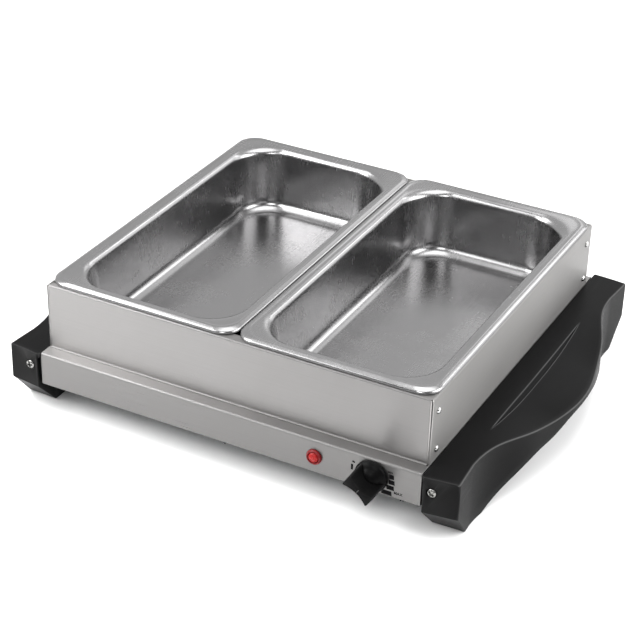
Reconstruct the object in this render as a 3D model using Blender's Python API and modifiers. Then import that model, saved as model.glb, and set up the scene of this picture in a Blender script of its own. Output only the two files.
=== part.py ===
# Electric food warmer tray: a low stainless base with a warm deck, a lift-off
# stainless frame that carries two rectangular pans side by side, and a black
# moulded carry handle along each end.  Metres, +Z up, front towards -Y.
# The origin is on the table, under the middle of the whole object's extent, so
# the middle of the base lies ORIGIN_SHIFT behind it.
import math

import bmesh
import bpy
import numpy as np
from mathutils import Matrix, Vector

for ob in list(bpy.data.objects):
    bpy.data.objects.remove(ob, do_unlink=True)

# ---------------------------------------------------------------- dimensions
GAP = 0.0003              # clearance between pieces that touch
SHEET = 0.0010            # stainless sheet
ORIGIN_SHIFT = 0.0093     # the knob stands out in front, so the base sits back

BASE_X = 0.1775           # half width of the base and of the frame
BASE_Y = 0.1822           # half depth of the base (front and back ledge)
BASE_Z0 = 0.0280          # underside of the base above the table
DECK_Z = 0.0585           # warm deck and ledge
BASE_BEND = 0.0022        # bend radius of the ledge
BASE_FLANGE = 0.0090      # inward flange under the base

FRAME_Y = 0.1690          # half depth of the lift-off frame
FRAME_Z0 = DECK_Z + GAP
FRAME_Z1 = 0.1183         # top of the frame
FRAME_FLANGE = 0.0095     # top flange turned inwards
FRAME_EAR = 0.0200        # end flange of a front or back panel
FRAME_BEND = 0.0016

PAN_X0 = 0.0003           # inner side of a pan rim from the middle
PAN_X1 = 0.1760           # outer side of a pan, from which the well is set in
PAN_Y = 0.1670            # half length of a pan, from which the well is set in
PAN_OUT = 0.0022          # how much further the rim reaches over the frame's side
PAN_BACK = 0.0032         # how much further it reaches over the frame's back
PAN_RIM_Z = 0.1227        # top of the rim
PAN_LIP_Z = FRAME_Z1 + GAP
PAN_FLOOR_Z = 0.0615      # inside floor
PAN_SHEET = 0.0008
PAN_CORNER = 0.0172       # outer corner of the rim
PAN_WELL_CORNER = 0.0380  # corner of the opening

HANDLE_U0 = 0.0022        # inner face, outwards from the base side
HANDLE_END = 0.1850       # front end of a handle, from the base centre
HANDLE_BACK = 0.1878      # its back end
LEAN_FRONT = 0.135        # how far the end faces lean back, per metre outwards
LEAN_BACK = 0.071
LEAN_FROM = 0.1500        # the lean grows from here to the end
FITTING_FRONT = 0.1840    # where the front seats, screws and brackets are set from
HANDLE_TOP = 0.0585
HANDLE_FOOT0 = 0.1300     # foot on the table, near end
HANDLE_FOOT1 = 0.1605     # foot on the table, far end
HANDLE_WALL = 0.0035
LEAF_HALF = 0.0980        # half length of the leaf groove
LEAF_DEPTH = 0.0010
GRIP_HALF = 0.1150        # half length of the hand space under the handle

KNOB_X = 0.1354
KNOB_Z = 0.0432
KNOB_TILT = math.radians(34.0)
KNOB_SKIRT_R = 0.0140
KNOB_HUB_R = 0.0095
KNOB_BACK_Y = -0.1832
KNOB_HUB_Y = -0.1898
KNOB_DOME_Y = -0.1945
KNOB_FRONT_Y = -0.2078
KNOB_BAR_HALF = 0.0127    # half width of the finger bar
KNOB_BAR_END = 0.0056     # half thickness at its two ends
KNOB_BAR_MID = 0.0027     # half thickness in the middle
KNOB_BORE_Y = -0.1922     # blind end of the shaft bore
SHAFT_R = 0.0030

LAMP_X = 0.0843
LAMP_Z = 0.0432
LAMP_R = 0.0068

GLAND_X = 0.1200
GLAND_Z = 0.0432
GLAND_R = 0.0075

HANDLE_SCREW_U = 0.0100
HANDLE_SCREW_Z = 0.0455
RIVET_Y = 0.1575
RIVET_Z = (0.0682, 0.1035)

HEAT_X = 0.1600
HEAT_Y = 0.1500
HEAT_Z0 = 0.0557
HEAT_T = 0.0015
TUBE_R = 0.0032
TUBE_PITCH = 0.0700
TUBE_RUN = 0.1200

# ------------------------------------------------------------ scene plumbing
root_coll = bpy.context.scene.collection
parts = bpy.data.collections.new("electric_food_warmer_tray")
cutters = bpy.data.collections.new("cutters")
root_coll.children.link(parts)
root_coll.children.link(cutters)


def material(name, colour, rough, metal, transmission=0.0):
    m = bpy.data.materials.new(name)
    m.use_nodes = True
    b = m.node_tree.nodes["Principled BSDF"]
    b.inputs["Base Color"].default_value = (*colour, 1.0)
    b.inputs["Roughness"].default_value = rough
    b.inputs["Metallic"].default_value = metal
    b.inputs["Transmission Weight"].default_value = transmission
    m.diffuse_color = (*colour, 1.0)
    return m


def steel(name, v=0.56, rough=0.30):
    return material(name, (v, v * 0.99, v * 0.975), rough, 1.0)


def black(name, v=0.022, rough=0.42):
    return material(name, (v, v, v * 1.04), rough, 0.0)


def add(name, mesh, mat, coll=parts, smooth=None):
    ob = bpy.data.objects.new(name, mesh)
    coll.objects.link(ob)
    if mat is not None:
        mesh.materials.clear()
        mesh.materials.append(mat)
    if smooth is not None:
        mesh.shade_smooth()
        mesh.set_sharp_from_angle(angle=math.radians(smooth))
    if coll is cutters:
        ob.hide_render = True
        ob.display_type = "WIRE"
    return ob


def from_bm(name, bm, mat, coll=parts, smooth=None):
    me = bpy.data.meshes.new(name)
    bmesh.ops.recalc_face_normals(bm, faces=bm.faces)
    bm.to_mesh(me)
    bm.free()
    return add(name, me, mat, coll, smooth)


def add_box(bm, x0, x1, y0, y1, z0, z1):
    m = Matrix.Translation(((x0 + x1) / 2, (y0 + y1) / 2, (z0 + z1) / 2)) \
        @ Matrix.Diagonal((x1 - x0, y1 - y0, z1 - z0, 1.0))
    return bmesh.ops.create_cube(bm, size=1.0, matrix=m)["verts"]


def add_rod(bm, r, a, b, segments=20, r2=None):
    a, b = Vector(a), Vector(b)
    q = (b - a).to_track_quat("Z", "Y").to_matrix().to_4x4()
    m = Matrix.Translation((a + b) / 2) @ q
    return bmesh.ops.create_cone(bm, cap_ends=True, segments=segments, radius1=r,
                                 radius2=r if r2 is None else r2,
                                 depth=(b - a).length, matrix=m)["verts"]


def box(name, x0, x1, y0, y1, z0, z1, mat, bevel=0.0, coll=parts):
    bm = bmesh.new()
    add_box(bm, x0, x1, y0, y1, z0, z1)
    ob = from_bm(name, bm, mat, coll)
    if bevel:
        md = ob.modifiers.new("edges", "BEVEL")
        md.width = bevel
        md.segments = 2
        md.limit_method = "ANGLE"
    return ob


def boolean(ob, cutter, operation="DIFFERENCE"):
    md = ob.modifiers.new("bool_" + cutter.name, "BOOLEAN")
    md.operation = operation
    md.solver = "EXACT"
    md.object = cutter
    return md


def turned(name, profile, mat, steps=24, matrix=Matrix.Identity(4), coll=parts):
    """Profile of (radius, height), from the top of the axis down the outside."""
    bm = bmesh.new()
    vs = [bm.verts.new((r, 0.0, z)) for r, z in profile]
    for a, b in zip(vs, vs[1:]):
        bm.edges.new((a, b))
    me = bpy.data.meshes.new(name)
    bm.to_mesh(me)
    bm.free()
    ob = add(name, me, mat, coll)
    md = ob.modifiers.new("turn", "SCREW")
    md.axis = "Z"
    md.angle = math.tau
    md.steps = steps
    md.render_steps = steps
    md.use_merge_vertices = True
    md.merge_threshold = 0.00001
    md.use_smooth_shade = True
    ob.matrix_world = matrix
    return ob


def along(origin, direction):
    """Matrix that stands a turned shape's +Z along a direction."""
    q = Vector(direction).to_track_quat("Z", "Y").to_matrix().to_4x4()
    return Matrix.Translation(origin) @ q


def outline_plate(name, pts, thick, mat, matrix=Matrix.Identity(4), coll=parts, smooth=None):
    """Flat outline given thickness along its own Z, centred on it."""
    cu = bpy.data.curves.new(name, "CURVE")
    cu.dimensions = "2D"
    cu.fill_mode = "BOTH"
    cu.extrude = thick / 2
    sp = cu.splines.new("POLY")
    sp.points.add(len(pts) - 1)
    for p, (x, y) in zip(sp.points, pts):
        p.co = (x, y, 0.0, 1.0)
    sp.use_cyclic_u = True
    tmp = bpy.data.objects.new(name + "_outline", cu)
    parts.objects.link(tmp)
    tmp.matrix_world = matrix
    bpy.context.view_layer.update()
    dg = bpy.context.evaluated_depsgraph_get()
    me = bpy.data.meshes.new_from_object(tmp.evaluated_get(dg))
    bm = bmesh.new()
    bm.from_mesh(me)
    bmesh.ops.remove_doubles(bm, verts=bm.verts, dist=1e-6)
    bmesh.ops.recalc_face_normals(bm, faces=bm.faces)
    bm.to_mesh(me)
    bm.free()
    ob = add(name, me, mat, coll, smooth)
    ob.matrix_world = tmp.matrix_world.copy()
    bpy.data.objects.remove(tmp, do_unlink=True)
    return ob


# ------------------------------------------------------------------ the base
def make_base():
    """Folded sheet: deck, walls and an inward flange, open underneath."""
    bm = bmesh.new()
    add_box(bm, -BASE_X, BASE_X, -BASE_Y, BASE_Y, BASE_Z0, DECK_Z)
    bm.faces.ensure_lookup_table()
    under = [f for f in bm.faces if f.normal.z < -0.5]
    bmesh.ops.inset_region(bm, faces=under, thickness=BASE_FLANGE)
    bmesh.ops.delete(bm, geom=under, context="FACES")
    bends = [e for e in bm.edges
             if all(v.co.z > DECK_Z - 1e-4 for v in e.verts)
             and abs(e.verts[0].co.y - e.verts[1].co.y) < 1e-4]
    bmesh.ops.bevel(bm, geom=bends, offset=BASE_BEND, segments=3, profile=0.5,
                    affect="EDGES")
    me = bpy.data.meshes.new("base_shell")
    bm.to_mesh(me)
    bm.free()
    ob = add("base_shell", me, steel("stainless_base"), smooth=30)
    md = ob.modifiers.new("sheet", "SOLIDIFY")
    md.thickness = SHEET
    md.offset = -1.0
    md.use_even_offset = True
    holes = bmesh.new()
    add_rod(holes, 0.0048, (KNOB_X, -BASE_Y - 0.004, KNOB_Z), (KNOB_X, -BASE_Y + 0.004, KNOB_Z))
    add_rod(holes, 0.0060, (LAMP_X, -BASE_Y - 0.004, LAMP_Z), (LAMP_X, -BASE_Y + 0.004, LAMP_Z))
    add_rod(holes, GLAND_R + GAP, (GLAND_X, BASE_Y - 0.004, GLAND_Z), (GLAND_X, BASE_Y + 0.004, GLAND_Z), 24)
    for x, y in cover_screw_places():
        add_rod(holes, 0.0020, (x, y, BASE_Z0 - 0.002), (x, y, BASE_Z0 + 0.003), 12)
    boolean(ob, from_bm("cut_base_holes", holes, None, cutters))
    return ob


def cover_screw_places():
    y = BASE_Y - BASE_FLANGE * 0.55
    return [(x, s * y) for s in (-1, 1) for x in (-0.160, 0.0, 0.160)]


def make_cover():
    t = 0.0010
    z1 = BASE_Z0 - GAP
    ob = box("bottom_cover", -BASE_X + 0.003, BASE_X - 0.003, -BASE_Y + 0.0027, BASE_Y - 0.0027,
             z1 - t, z1, material("cover_grey", (0.30, 0.30, 0.30), 0.55, 0.6))
    cut = bmesh.new()
    for x, y in cover_screw_places():
        add_rod(cut, 0.0020, (x, y, z1 - 0.003), (x, y, z1 + 0.003), 12)
    for i in range(9):                       # vent slots under the controls
        x = 0.040 + i * 0.012
        add_box(cut, x, x + 0.004, -0.150, -0.110, z1 - 0.004, z1 + 0.004)
    boolean(ob, from_bm("cut_cover_holes", cut, None, cutters))
    for k, (x, y) in enumerate(cover_screw_places(), 1):
        zb = z1 - t - GAP
        turned("cover_screw_%d" % k,
               [(0.0, BASE_Z0 + 0.0050), (0.0016, BASE_Z0 + 0.0045), (0.0016, zb),
                (0.0034, zb), (0.0034, zb - 0.0010), (0.0022, zb - 0.0018), (0.0, zb - 0.0020)],
               material("zinc_cover_screw_%d" % k, (0.55, 0.55, 0.53), 0.35, 1.0), 12,
               Matrix.Translation((x, y, 0.0)))


# ------------------------------------------------------------ heating system
def make_heater():
    box("heat_plate", -HEAT_X, HEAT_X, -HEAT_Y, HEAT_Y, HEAT_Z0, HEAT_Z0 + HEAT_T,
        material("aluminium_plate", (0.66, 0.67, 0.68), 0.45, 1.0))
    z = HEAT_Z0 - GAP - TUBE_R
    r = TUBE_PITCH / 2
    rows = [TUBE_PITCH * k for k in (1.5, 0.5, -0.5, -1.5)]
    pts = [(TUBE_RUN + 0.020, rows[0])]
    side = -1
    for a, b in zip(rows, rows[1:]):
        for i in range(9):
            t = math.pi * i / 8
            pts.append((side * (TUBE_RUN - r + r + r * math.sin(t) * 0.8),
                        (a + b) / 2 + r * math.cos(t)))
        side = -side
    pts.append((TUBE_RUN + 0.020, rows[-1]))
    cu = bpy.data.curves.new("heating_element", "CURVE")
    cu.dimensions = "3D"
    cu.bevel_depth = TUBE_R
    cu.bevel_resolution = 2
    cu.use_fill_caps = True
    sp = cu.splines.new("POLY")
    sp.points.add(len(pts) - 1)
    for p, (x, y) in zip(sp.points, pts):
        p.co = (x, y, z, 1.0)
    ob = bpy.data.objects.new("heating_element", cu)
    cu.materials.append(material("element_sheath", (0.22, 0.21, 0.20), 0.5, 0.9))
    parts.objects.link(ob)
    # a saddle clamp on each straight run holds the tube against the plate
    ro = TUBE_R + GAP
    for k, y in enumerate(rows, 1):
        zt = HEAT_Z0 - GAP
        n = 8
        t = 0.0010
        inner = [(ro * math.cos(math.pi * i / n), -TUBE_R - ro * math.sin(math.pi * i / n)) for i in range(n + 1)]
        outer = [((ro + t) * math.cos(math.pi * i / n), -TUBE_R - (ro + t) * math.sin(math.pi * i / n)) for i in range(n + 1)]
        loop = [(0.011, 0.0), (ro, 0.0)] + inner + [(-ro, 0.0), (-0.011, 0.0), (-0.011, -t), (-ro - t, -t)] \
            + outer[::-1] + [(ro + t, -t), (0.011, -t)]
        m = Matrix.Translation((0.0, y, zt)) @ Matrix.Rotation(math.pi / 2, 4, "Z") @ Matrix.Rotation(math.pi / 2, 4, "X")
        outline_plate("element_clamp_%d" % k, loop, 0.012,
                      material("clamp_steel_%d" % k, (0.5, 0.5, 0.49), 0.4, 1.0), m)
    box("terminal_block", 0.092, 0.132, 0.132, 0.150, 0.0305, 0.0455,
        material("ceramic_white", (0.78, 0.76, 0.70), 0.6, 0.0), 0.0012)


def make_controls():
    y_in = -BASE_Y + SHEET                     # inner face of the front wall
    box_y1 = y_in + GAP + 0.0140
    body = box("thermostat_body", KNOB_X - 0.0135, KNOB_X + 0.0135, y_in + GAP, box_y1,
               KNOB_Z - 0.0120, KNOB_Z + 0.0115, material("phenolic_brown", (0.10, 0.055, 0.035), 0.55, 0.0), 0.0010)
    bush = bmesh.new()
    add_rod(bush, 0.0045, (KNOB_X, -BASE_Y - 0.0030, KNOB_Z), (KNOB_X, y_in + 0.004, KNOB_Z), 20)
    boolean(body, from_bm("join_bushing", bush, None, cutters), "UNION")
    bore = bmesh.new()
    add_rod(bore, SHAFT_R + 0.0004, (KNOB_X, -BASE_Y - 0.010, KNOB_Z), (KNOB_X, y_in + 0.010, KNOB_Z), 20)
    boolean(body, from_bm("cut_bushing", bore, None, cutters))

    hexagon = [(0.0069 * math.cos(math.tau * i / 6), 0.0069 * math.sin(math.tau * i / 6)) for i in range(6)]
    nut = outline_plate("thermostat_nut", hexagon, 0.0022, material("zinc_nut", (0.6, 0.6, 0.58), 0.35, 1.0),
                        Matrix.Translation((KNOB_X, -BASE_Y - GAP - 0.0011, KNOB_Z)) @ Matrix.Rotation(math.pi / 2, 4, "X"))
    hole = bmesh.new()
    add_rod(hole, 0.0048, (KNOB_X, -BASE_Y - 0.006, KNOB_Z), (KNOB_X, -BASE_Y + 0.002, KNOB_Z), 20)
    boolean(nut, from_bm("cut_nut", hole, None, cutters))

    axis = bpy.data.objects.new("knob_axis", None)
    axis.location = (KNOB_X, KNOB_BACK_Y, KNOB_Z)
    parts.objects.link(axis)
    bpy.context.view_layer.update()

    # the turning shaft, with the flat that keys the knob
    front = -(KNOB_BORE_Y + GAP - KNOB_BACK_Y)
    back = -(y_in + 0.0075 - KNOB_BACK_Y)
    shaft = turned("control_shaft", [(0.0, front), (SHAFT_R - 0.0004, front), (SHAFT_R, front - 0.0004),
                                     (SHAFT_R, back), (0.0, back)],
                   material("shaft_steel", (0.55, 0.55, 0.54), 0.3, 1.0), 20,
                   along((0, 0, 0), (0, -1, 0)))
    flat = bmesh.new()
    add_box(flat, -0.004, 0.004, KNOB_FRONT_Y, -0.1868, KNOB_Z - 0.004, KNOB_Z - 0.0020)
    for v in flat.verts:
        v.co.x += KNOB_X
    shaft.parent = axis
    boolean(shaft, from_bm("cut_shaft_flat", flat, None, cutters))

    # knob: skirt, shoulder and dome turned, finger bar with a scoop on each broad side
    h = lambda y: -(y - KNOB_BACK_Y)
    top, hub = h(KNOB_DOME_Y), h(KNOB_HUB_Y)
    r = KNOB_SKIRT_R
    knob = turned("control_knob",
                  [(0.0, top), (0.0035, top - 0.0004), (0.0062, top - 0.0015), (0.0083, hub + 0.0013), (KNOB_HUB_R, hub),
                   (KNOB_HUB_R + 0.0003, hub - 0.0006), (0.5 * (r + KNOB_HUB_R) + 0.0004, hub - 0.0020), (r - 0.0004, hub - 0.0033),
                   (r, hub - 0.0042), (r, 0.0), (r - 0.0018, 0.0), (r - 0.0022, 0.0030), (0.0, 0.0030)],
                  black("knob_black", 0.016, 0.38), 40, along((0, 0, 0), (0, -1, 0)))
    knob.parent = axis
    n = 10
    side = []
    for i in range(n + 1):
        s = -1 + 2 * i / n
        side.append((s * (KNOB_BAR_HALF - 0.0006), KNOB_BAR_MID + (KNOB_BAR_END - KNOB_BAR_MID) * s * s))
    bar = side + [(KNOB_BAR_HALF, KNOB_BAR_END - 0.0012), (KNOB_BAR_HALF, -KNOB_BAR_END + 0.0012)] \
        + [(x, -y) for x, y in side[::-1]] + [(-KNOB_BAR_HALF, -KNOB_BAR_END + 0.0012), (-KNOB_BAR_HALF, KNOB_BAR_END - 0.0012)]
    y0, y1 = KNOB_BACK_Y - 0.0036, KNOB_FRONT_Y
    grip = outline_plate("join_finger_bar", bar, abs(y1 - y0), None,
                         Matrix.Translation((KNOB_X, (y0 + y1) / 2, KNOB_Z)) @ Matrix.Rotation(KNOB_TILT, 4, "Y")
                         @ Matrix.Rotation(math.pi / 2, 4, "X"), cutters)
    boolean(knob, grip, "UNION")
    kb = bmesh.new()
    add_rod(kb, SHAFT_R + GAP, (KNOB_X, KNOB_BACK_Y + 0.002, KNOB_Z), (KNOB_X, KNOB_BORE_Y, KNOB_Z), 20)
    boolean(knob, from_bm("cut_knob_bore", kb, None, cutters))

    # indicator lamp: bezel, red lens and the holder behind the wall
    yo = -BASE_Y - GAP
    out = lambda d: -(yo - d) * 1.0
    turned("lamp_bezel", [(0.0052, 0.0022), (0.0060, 0.0024), (LAMP_R - 0.0002, 0.0014), (LAMP_R, 0.0006), (LAMP_R, 0.0),
                          (0.0057, 0.0), (0.0057, -0.0040), (0.0049, -0.0040), (0.0049, 0.0014), (0.0052, 0.0022)],
           material("bezel_dark_red", (0.20, 0.010, 0.012), 0.35, 0.0), 28, along((LAMP_X, yo, LAMP_Z), (0, -1, 0)))
    turned("lamp_lens", [(0.0, 0.0036), (0.0022, 0.0034), (0.0038, 0.0027), (0.0046, 0.0016), (0.0046, -0.0060), (0.0, -0.0060)],
           material("lens_red", (0.62, 0.015, 0.018), 0.15, 0.0, 0.35), 24, along((LAMP_X, yo, LAMP_Z), (0, -1, 0)))
    turned("lamp_holder", [(0.0049, -0.0046), (0.0075, -0.0046), (0.0075, -0.0230), (0.0, -0.0230), (0.0, -0.0066), (0.0049, -0.0066), (0.0049, -0.0046)],
           material("holder_white", (0.75, 0.74, 0.70), 0.5, 0.0), 20, along((LAMP_X, yo, LAMP_Z), (0, -1, 0)))

    # gland in the back wall where the supply cord comes in
    yb = BASE_Y
    r = GLAND_R
    turned("cord_gland", [(0.0036, 0.0040), (r + 0.0012, 0.0040), (r + 0.0025, 0.0028), (r + 0.0025, GAP), (r, GAP),
                          (r, -SHEET - GAP), (r + 0.0012, -SHEET - GAP), (r + 0.0008, -0.0060), (0.0036, -0.0060), (0.0036, 0.0040)],
           black("gland_black", 0.02, 0.5), 24, along((GLAND_X, yb, GLAND_Z), (0, 1, 0)))


# ------------------------------------------------------------------- handles
def smooth01(t):
    t = min(max(t, 0.0), 1.0)
    return t * t * (3 - 2 * t)


def handle_reach(y):
    """How far the handle stands out from the base side."""
    a = abs(y)
    body = 0.0298 + 0.0024 * (a - 0.150) / 0.035 if a > 0.150 else 0.0298
    bulge = 0.0350 * (0.5 + 0.5 * math.cos(math.pi * min(a / 0.1480, 1.0)))
    swell = 0.0042 * math.exp(-((a - 0.085) / 0.030) ** 2)
    return body + bulge + swell


def handle_edge_top(y):
    """Height of the outer crease: the bulge falls away outwards."""
    a = abs(y)
    return HANDLE_TOP - 0.0090 * smooth01((0.122 - a) / 0.085)


def handle_edge_low(y):
    """Lower edge of the outer wall: foot, chamfer at the end, arch between."""
    a = abs(y)
    if a >= HANDLE_FOOT1:
        return 0.0255 * (a - HANDLE_FOOT1) / (HANDLE_END - HANDLE_FOOT1)
    if a >= HANDLE_FOOT0:
        return 0.0
    t = (HANDLE_FOOT0 - a) / HANDLE_FOOT0
    return 0.0445 * (1.0 - (1.0 - t) ** 2.0) ** 1.1 - 0.0036 * math.exp(-((a - 0.047) / 0.018) ** 2)


def handle_top(u, y):
    """Height of the top face, flat near the base and falling to the crease."""
    reach = handle_reach(y)
    drop = HANDLE_TOP - handle_edge_top(y)
    t = min(max((u - 0.018) / max(reach - 0.018, 1e-4), 0.0), 1.0)
    crown = 0.0004 * ((u - 0.012) / 0.018) ** 2 * (1.0 - t)
    z = HANDLE_TOP - crown - drop * (0.25 * t * t + 0.75 * t) - 0.0003 * t * t
    leaf = 1.0 - (y / LEAF_HALF) ** 2
    if leaf > 0.0:
        lo, hi = 0.0208 - 0.0003 * leaf, 0.0211 + 0.0063 * leaf
        if lo < u < hi:
            s = (u - lo) / (hi - lo)
            z -= LEAF_DEPTH * min(1.0, 4.0 * min(s, 1.0 - s)) * min(1.0, leaf * 6)
    return z


def handle_section(y, n_top=11):
    """Closed loop of (u, z) across the handle at y, inner bottom first."""
    a = abs(y)
    end = HANDLE_END - a
    soft = 0.0014
    pull = soft - math.sqrt(max(soft * soft - (soft - min(end, soft)) ** 2, 0.0))
    u0 = HANDLE_U0 + pull * 0.6
    u1 = handle_reach(y) - pull * 1.1
    dz = pull * 0.55
    low = handle_edge_low(y) + pull * 0.4
    inner_low = min(low, BASE_Z0) if a < HANDLE_FOOT0 else low
    r = 0.0016
    pts = [(u0, inner_low), (u0, HANDLE_TOP - dz - r), (u0 + r * 0.3, HANDLE_TOP - dz - r * 0.3)]
    leaf = max(1.0 - (y / LEAF_HALF) ** 2, 0.0)
    lo, hi = 0.0208 - 0.0003 * leaf - 0.0002, 0.0211 + 0.0063 * leaf + 0.0002
    w = hi - lo
    us = [u0 + r, 0.010, lo, lo + 0.26 * w, lo + 0.74 * w, hi]
    last = u1 - r
    for k in range(1, n_top - 5):
        us.append(hi + (last - hi) * k / (n_top - 6))
    for u in us:
        pts.append((u, handle_top(min(u, handle_reach(y)), y) - dz))
    zc = handle_edge_top(y) - dz
    pts += [(u1 - r * 0.3, zc - r * 0.35), (u1, zc - r * 1.1), (u1, low + 0.0008), (u1 - 0.0008, low)]
    return pts


def loft(sections):
    """Close a run of equal-count loops into a solid with flat ends."""
    bm = bmesh.new()
    rings = [[bm.verts.new(p) for p in s] for s in sections]
    n = len(rings[0])
    for a, b in zip(rings, rings[1:]):
        for i in range(n):
            j = (i + 1) % n
            bm.faces.new((a[i], a[j], b[j], b[i]))
    bm.faces.new(rings[0][::-1])
    bm.faces.new(rings[-1])
    bmesh.ops.triangulate(bm, faces=bm.faces)
    return bm


def handle_y(y, u=0.0146):
    """Place of a point of a station: the back half is a little longer, and both end faces lean."""
    w = smooth01((abs(y) - LEAN_FROM) / (HANDLE_END - LEAN_FROM))
    if y > 0:
        return y * HANDLE_BACK / HANDLE_END - w * LEAN_BACK * (u - 0.0146)
    return y + w * LEAN_FRONT * (u - HANDLE_U0)


def handle_stations():
    ends = [0.0, 0.0003, 0.0008, 0.0014]
    ys = [HANDLE_END - e for e in ends] + [0.175, 0.166, HANDLE_FOOT1, 0.143, HANDLE_FOOT0]
    ys += [0.122, 0.114, 0.106, 0.098, 0.090, 0.081, 0.070, 0.057, 0.043, 0.028, 0.013]
    return [-y for y in ys] + [0.0] + ys[::-1]


def make_handle(name, side):
    secs = [[(side * (BASE_X + u), handle_y(y, u), z) for u, z in handle_section(y)] for y in handle_stations()]
    ob = from_bm(name, loft(secs), black(name + "_black", 0.020, 0.40), smooth=28)
    # hand space hollowed out from below
    cells = []
    for k in range(13):
        y = -GRIP_HALF + 2 * GRIP_HALF * k / 12
        last = handle_reach(y) - HANDLE_WALL
        us = [HANDLE_WALL + HANDLE_U0 + (last - HANDLE_WALL - HANDLE_U0) * j / 6 for j in range(7)]
        lid = [(u, handle_top(u, y) - HANDLE_WALL - 0.0004 - (0.0010 if 0.014 < u < 0.027 else 0.0)) for u in us]
        loop = [(us[0], -0.004)] + lid + [(us[-1], -0.004)]
        cells.append([(side * (BASE_X + u), handle_y(y), z) for u, z in loop])
    boolean(ob, from_bm("cut_%s_hand_space" % name, loft(cells), None, cutters))
    # pockets behind the end faces for the mounting brackets, and screw holes
    end = {-1: FITTING_FRONT, 1: HANDLE_BACK}
    pk = bmesh.new()
    for s in (-1, 1):
        xa, xb = BASE_X - 0.002, BASE_X + 0.0195
        ya, yb = s * 0.160, s * (end[s] - 0.0030)
        add_box(pk, min(side * xa, side * xb), max(side * xa, side * xb), min(ya, yb), max(ya, yb), 0.0335, 0.0550)
    boolean(ob, from_bm("cut_%s_pockets" % name, pk, None, cutters))
    hs = bmesh.new()
    for s in (-1, 1):
        x = side * (BASE_X + HANDLE_SCREW_U)
        add_rod(hs, 0.0022, (x, s * (end[s] - 0.006), HANDLE_SCREW_Z), (x, s * (end[s] + 0.004), HANDLE_SCREW_Z), 16)
    boolean(ob, from_bm("cut_%s_screw_holes" % name, hs, None, cutters))
    rc = bmesh.new()
    for s in (-1, 1):
        x = side * (BASE_X + HANDLE_SCREW_U)
        add_rod(rc, 0.0046, (x, s * (end[s] - 0.0010), HANDLE_SCREW_Z), (x, s * (end[s] + 0.004), HANDLE_SCREW_Z), 20)
    boolean(ob, from_bm("cut_%s_screw_seats" % name, rc, None, cutters))
    # angle brackets on the base side, one behind each end face
    for s, tag in ((-1, "front"), (1, "back")):
        t = 0.0012
        y1 = end[s] - 0.0030 - GAP
        pts = [(0.0, 0.0), (0.0170, 0.0), (0.0170, -t), (t, -t), (t, -0.0190), (0.0, -0.0190)]
        br = outline_plate("bracket_%s_%s" % (tag, name.split("_")[1]),
                           [(side * (BASE_X + GAP + u), s * (y1 + v)) for u, v in pts], 0.0170,
                           material("black_bracket_%s_%s" % (tag, name), (0.05, 0.05, 0.052), 0.5, 1.0),
                           Matrix.Translation((0, 0, 0.0445)))
        bh = bmesh.new()
        x = side * (BASE_X + HANDLE_SCREW_U)
        add_rod(bh, 0.0022, (x, s * (y1 - 0.004), HANDLE_SCREW_Z), (x, s * (y1 + 0.004), HANDLE_SCREW_Z), 16)
        boolean(br, from_bm("cut_bracket_%s_%s" % (tag, name), bh, None, cutters))
        seat = end[s] - 0.0010 + GAP
        sc = turned("handle_screw_%s_%s" % (tag, name.split("_")[1]),
                    [(0.0, 0.0021), (0.0016, 0.0019), (0.0032, 0.0012), (0.0039, 0.0004), (0.0039, 0.0),
                     (0.0018, 0.0), (0.0018, -0.0095), (0.0012, -0.0105), (0.0, -0.0105)],
                    material("screw_steel_%s_%s" % (tag, name), (0.62, 0.62, 0.61), 0.25, 1.0), 20,
                    along((x, s * seat, HANDLE_SCREW_Z), (0, s, 0)))
        a, b = 0.0004, 0.0023
        plus = [(b, a), (a, a), (a, b), (-a, b), (-a, a), (-b, a), (-b, -a), (-a, -a), (-a, -b), (a, -b), (a, -a), (b, -a)]
        cross = outline_plate("cut_cross_%s_%s" % (tag, name), plus, 0.0030, None,
                              along((x, s * seat, HANDLE_SCREW_Z), (0, s, 0)) @ Matrix.Rotation(0.6, 4, "Z")
                              @ Matrix.Translation((0, 0, 0.0023)), cutters)
        boolean(sc, cross)
    return ob


# ------------------------------------------------------------ lift-off frame
def sheet_panel(name, grid_pts, faces_of, mat):
    bm = bmesh.new()
    vs = [bm.verts.new(p) for p in grid_pts]
    for f in faces_of:
        bm.faces.new([vs[i] for i in f])
    return bm


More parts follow.
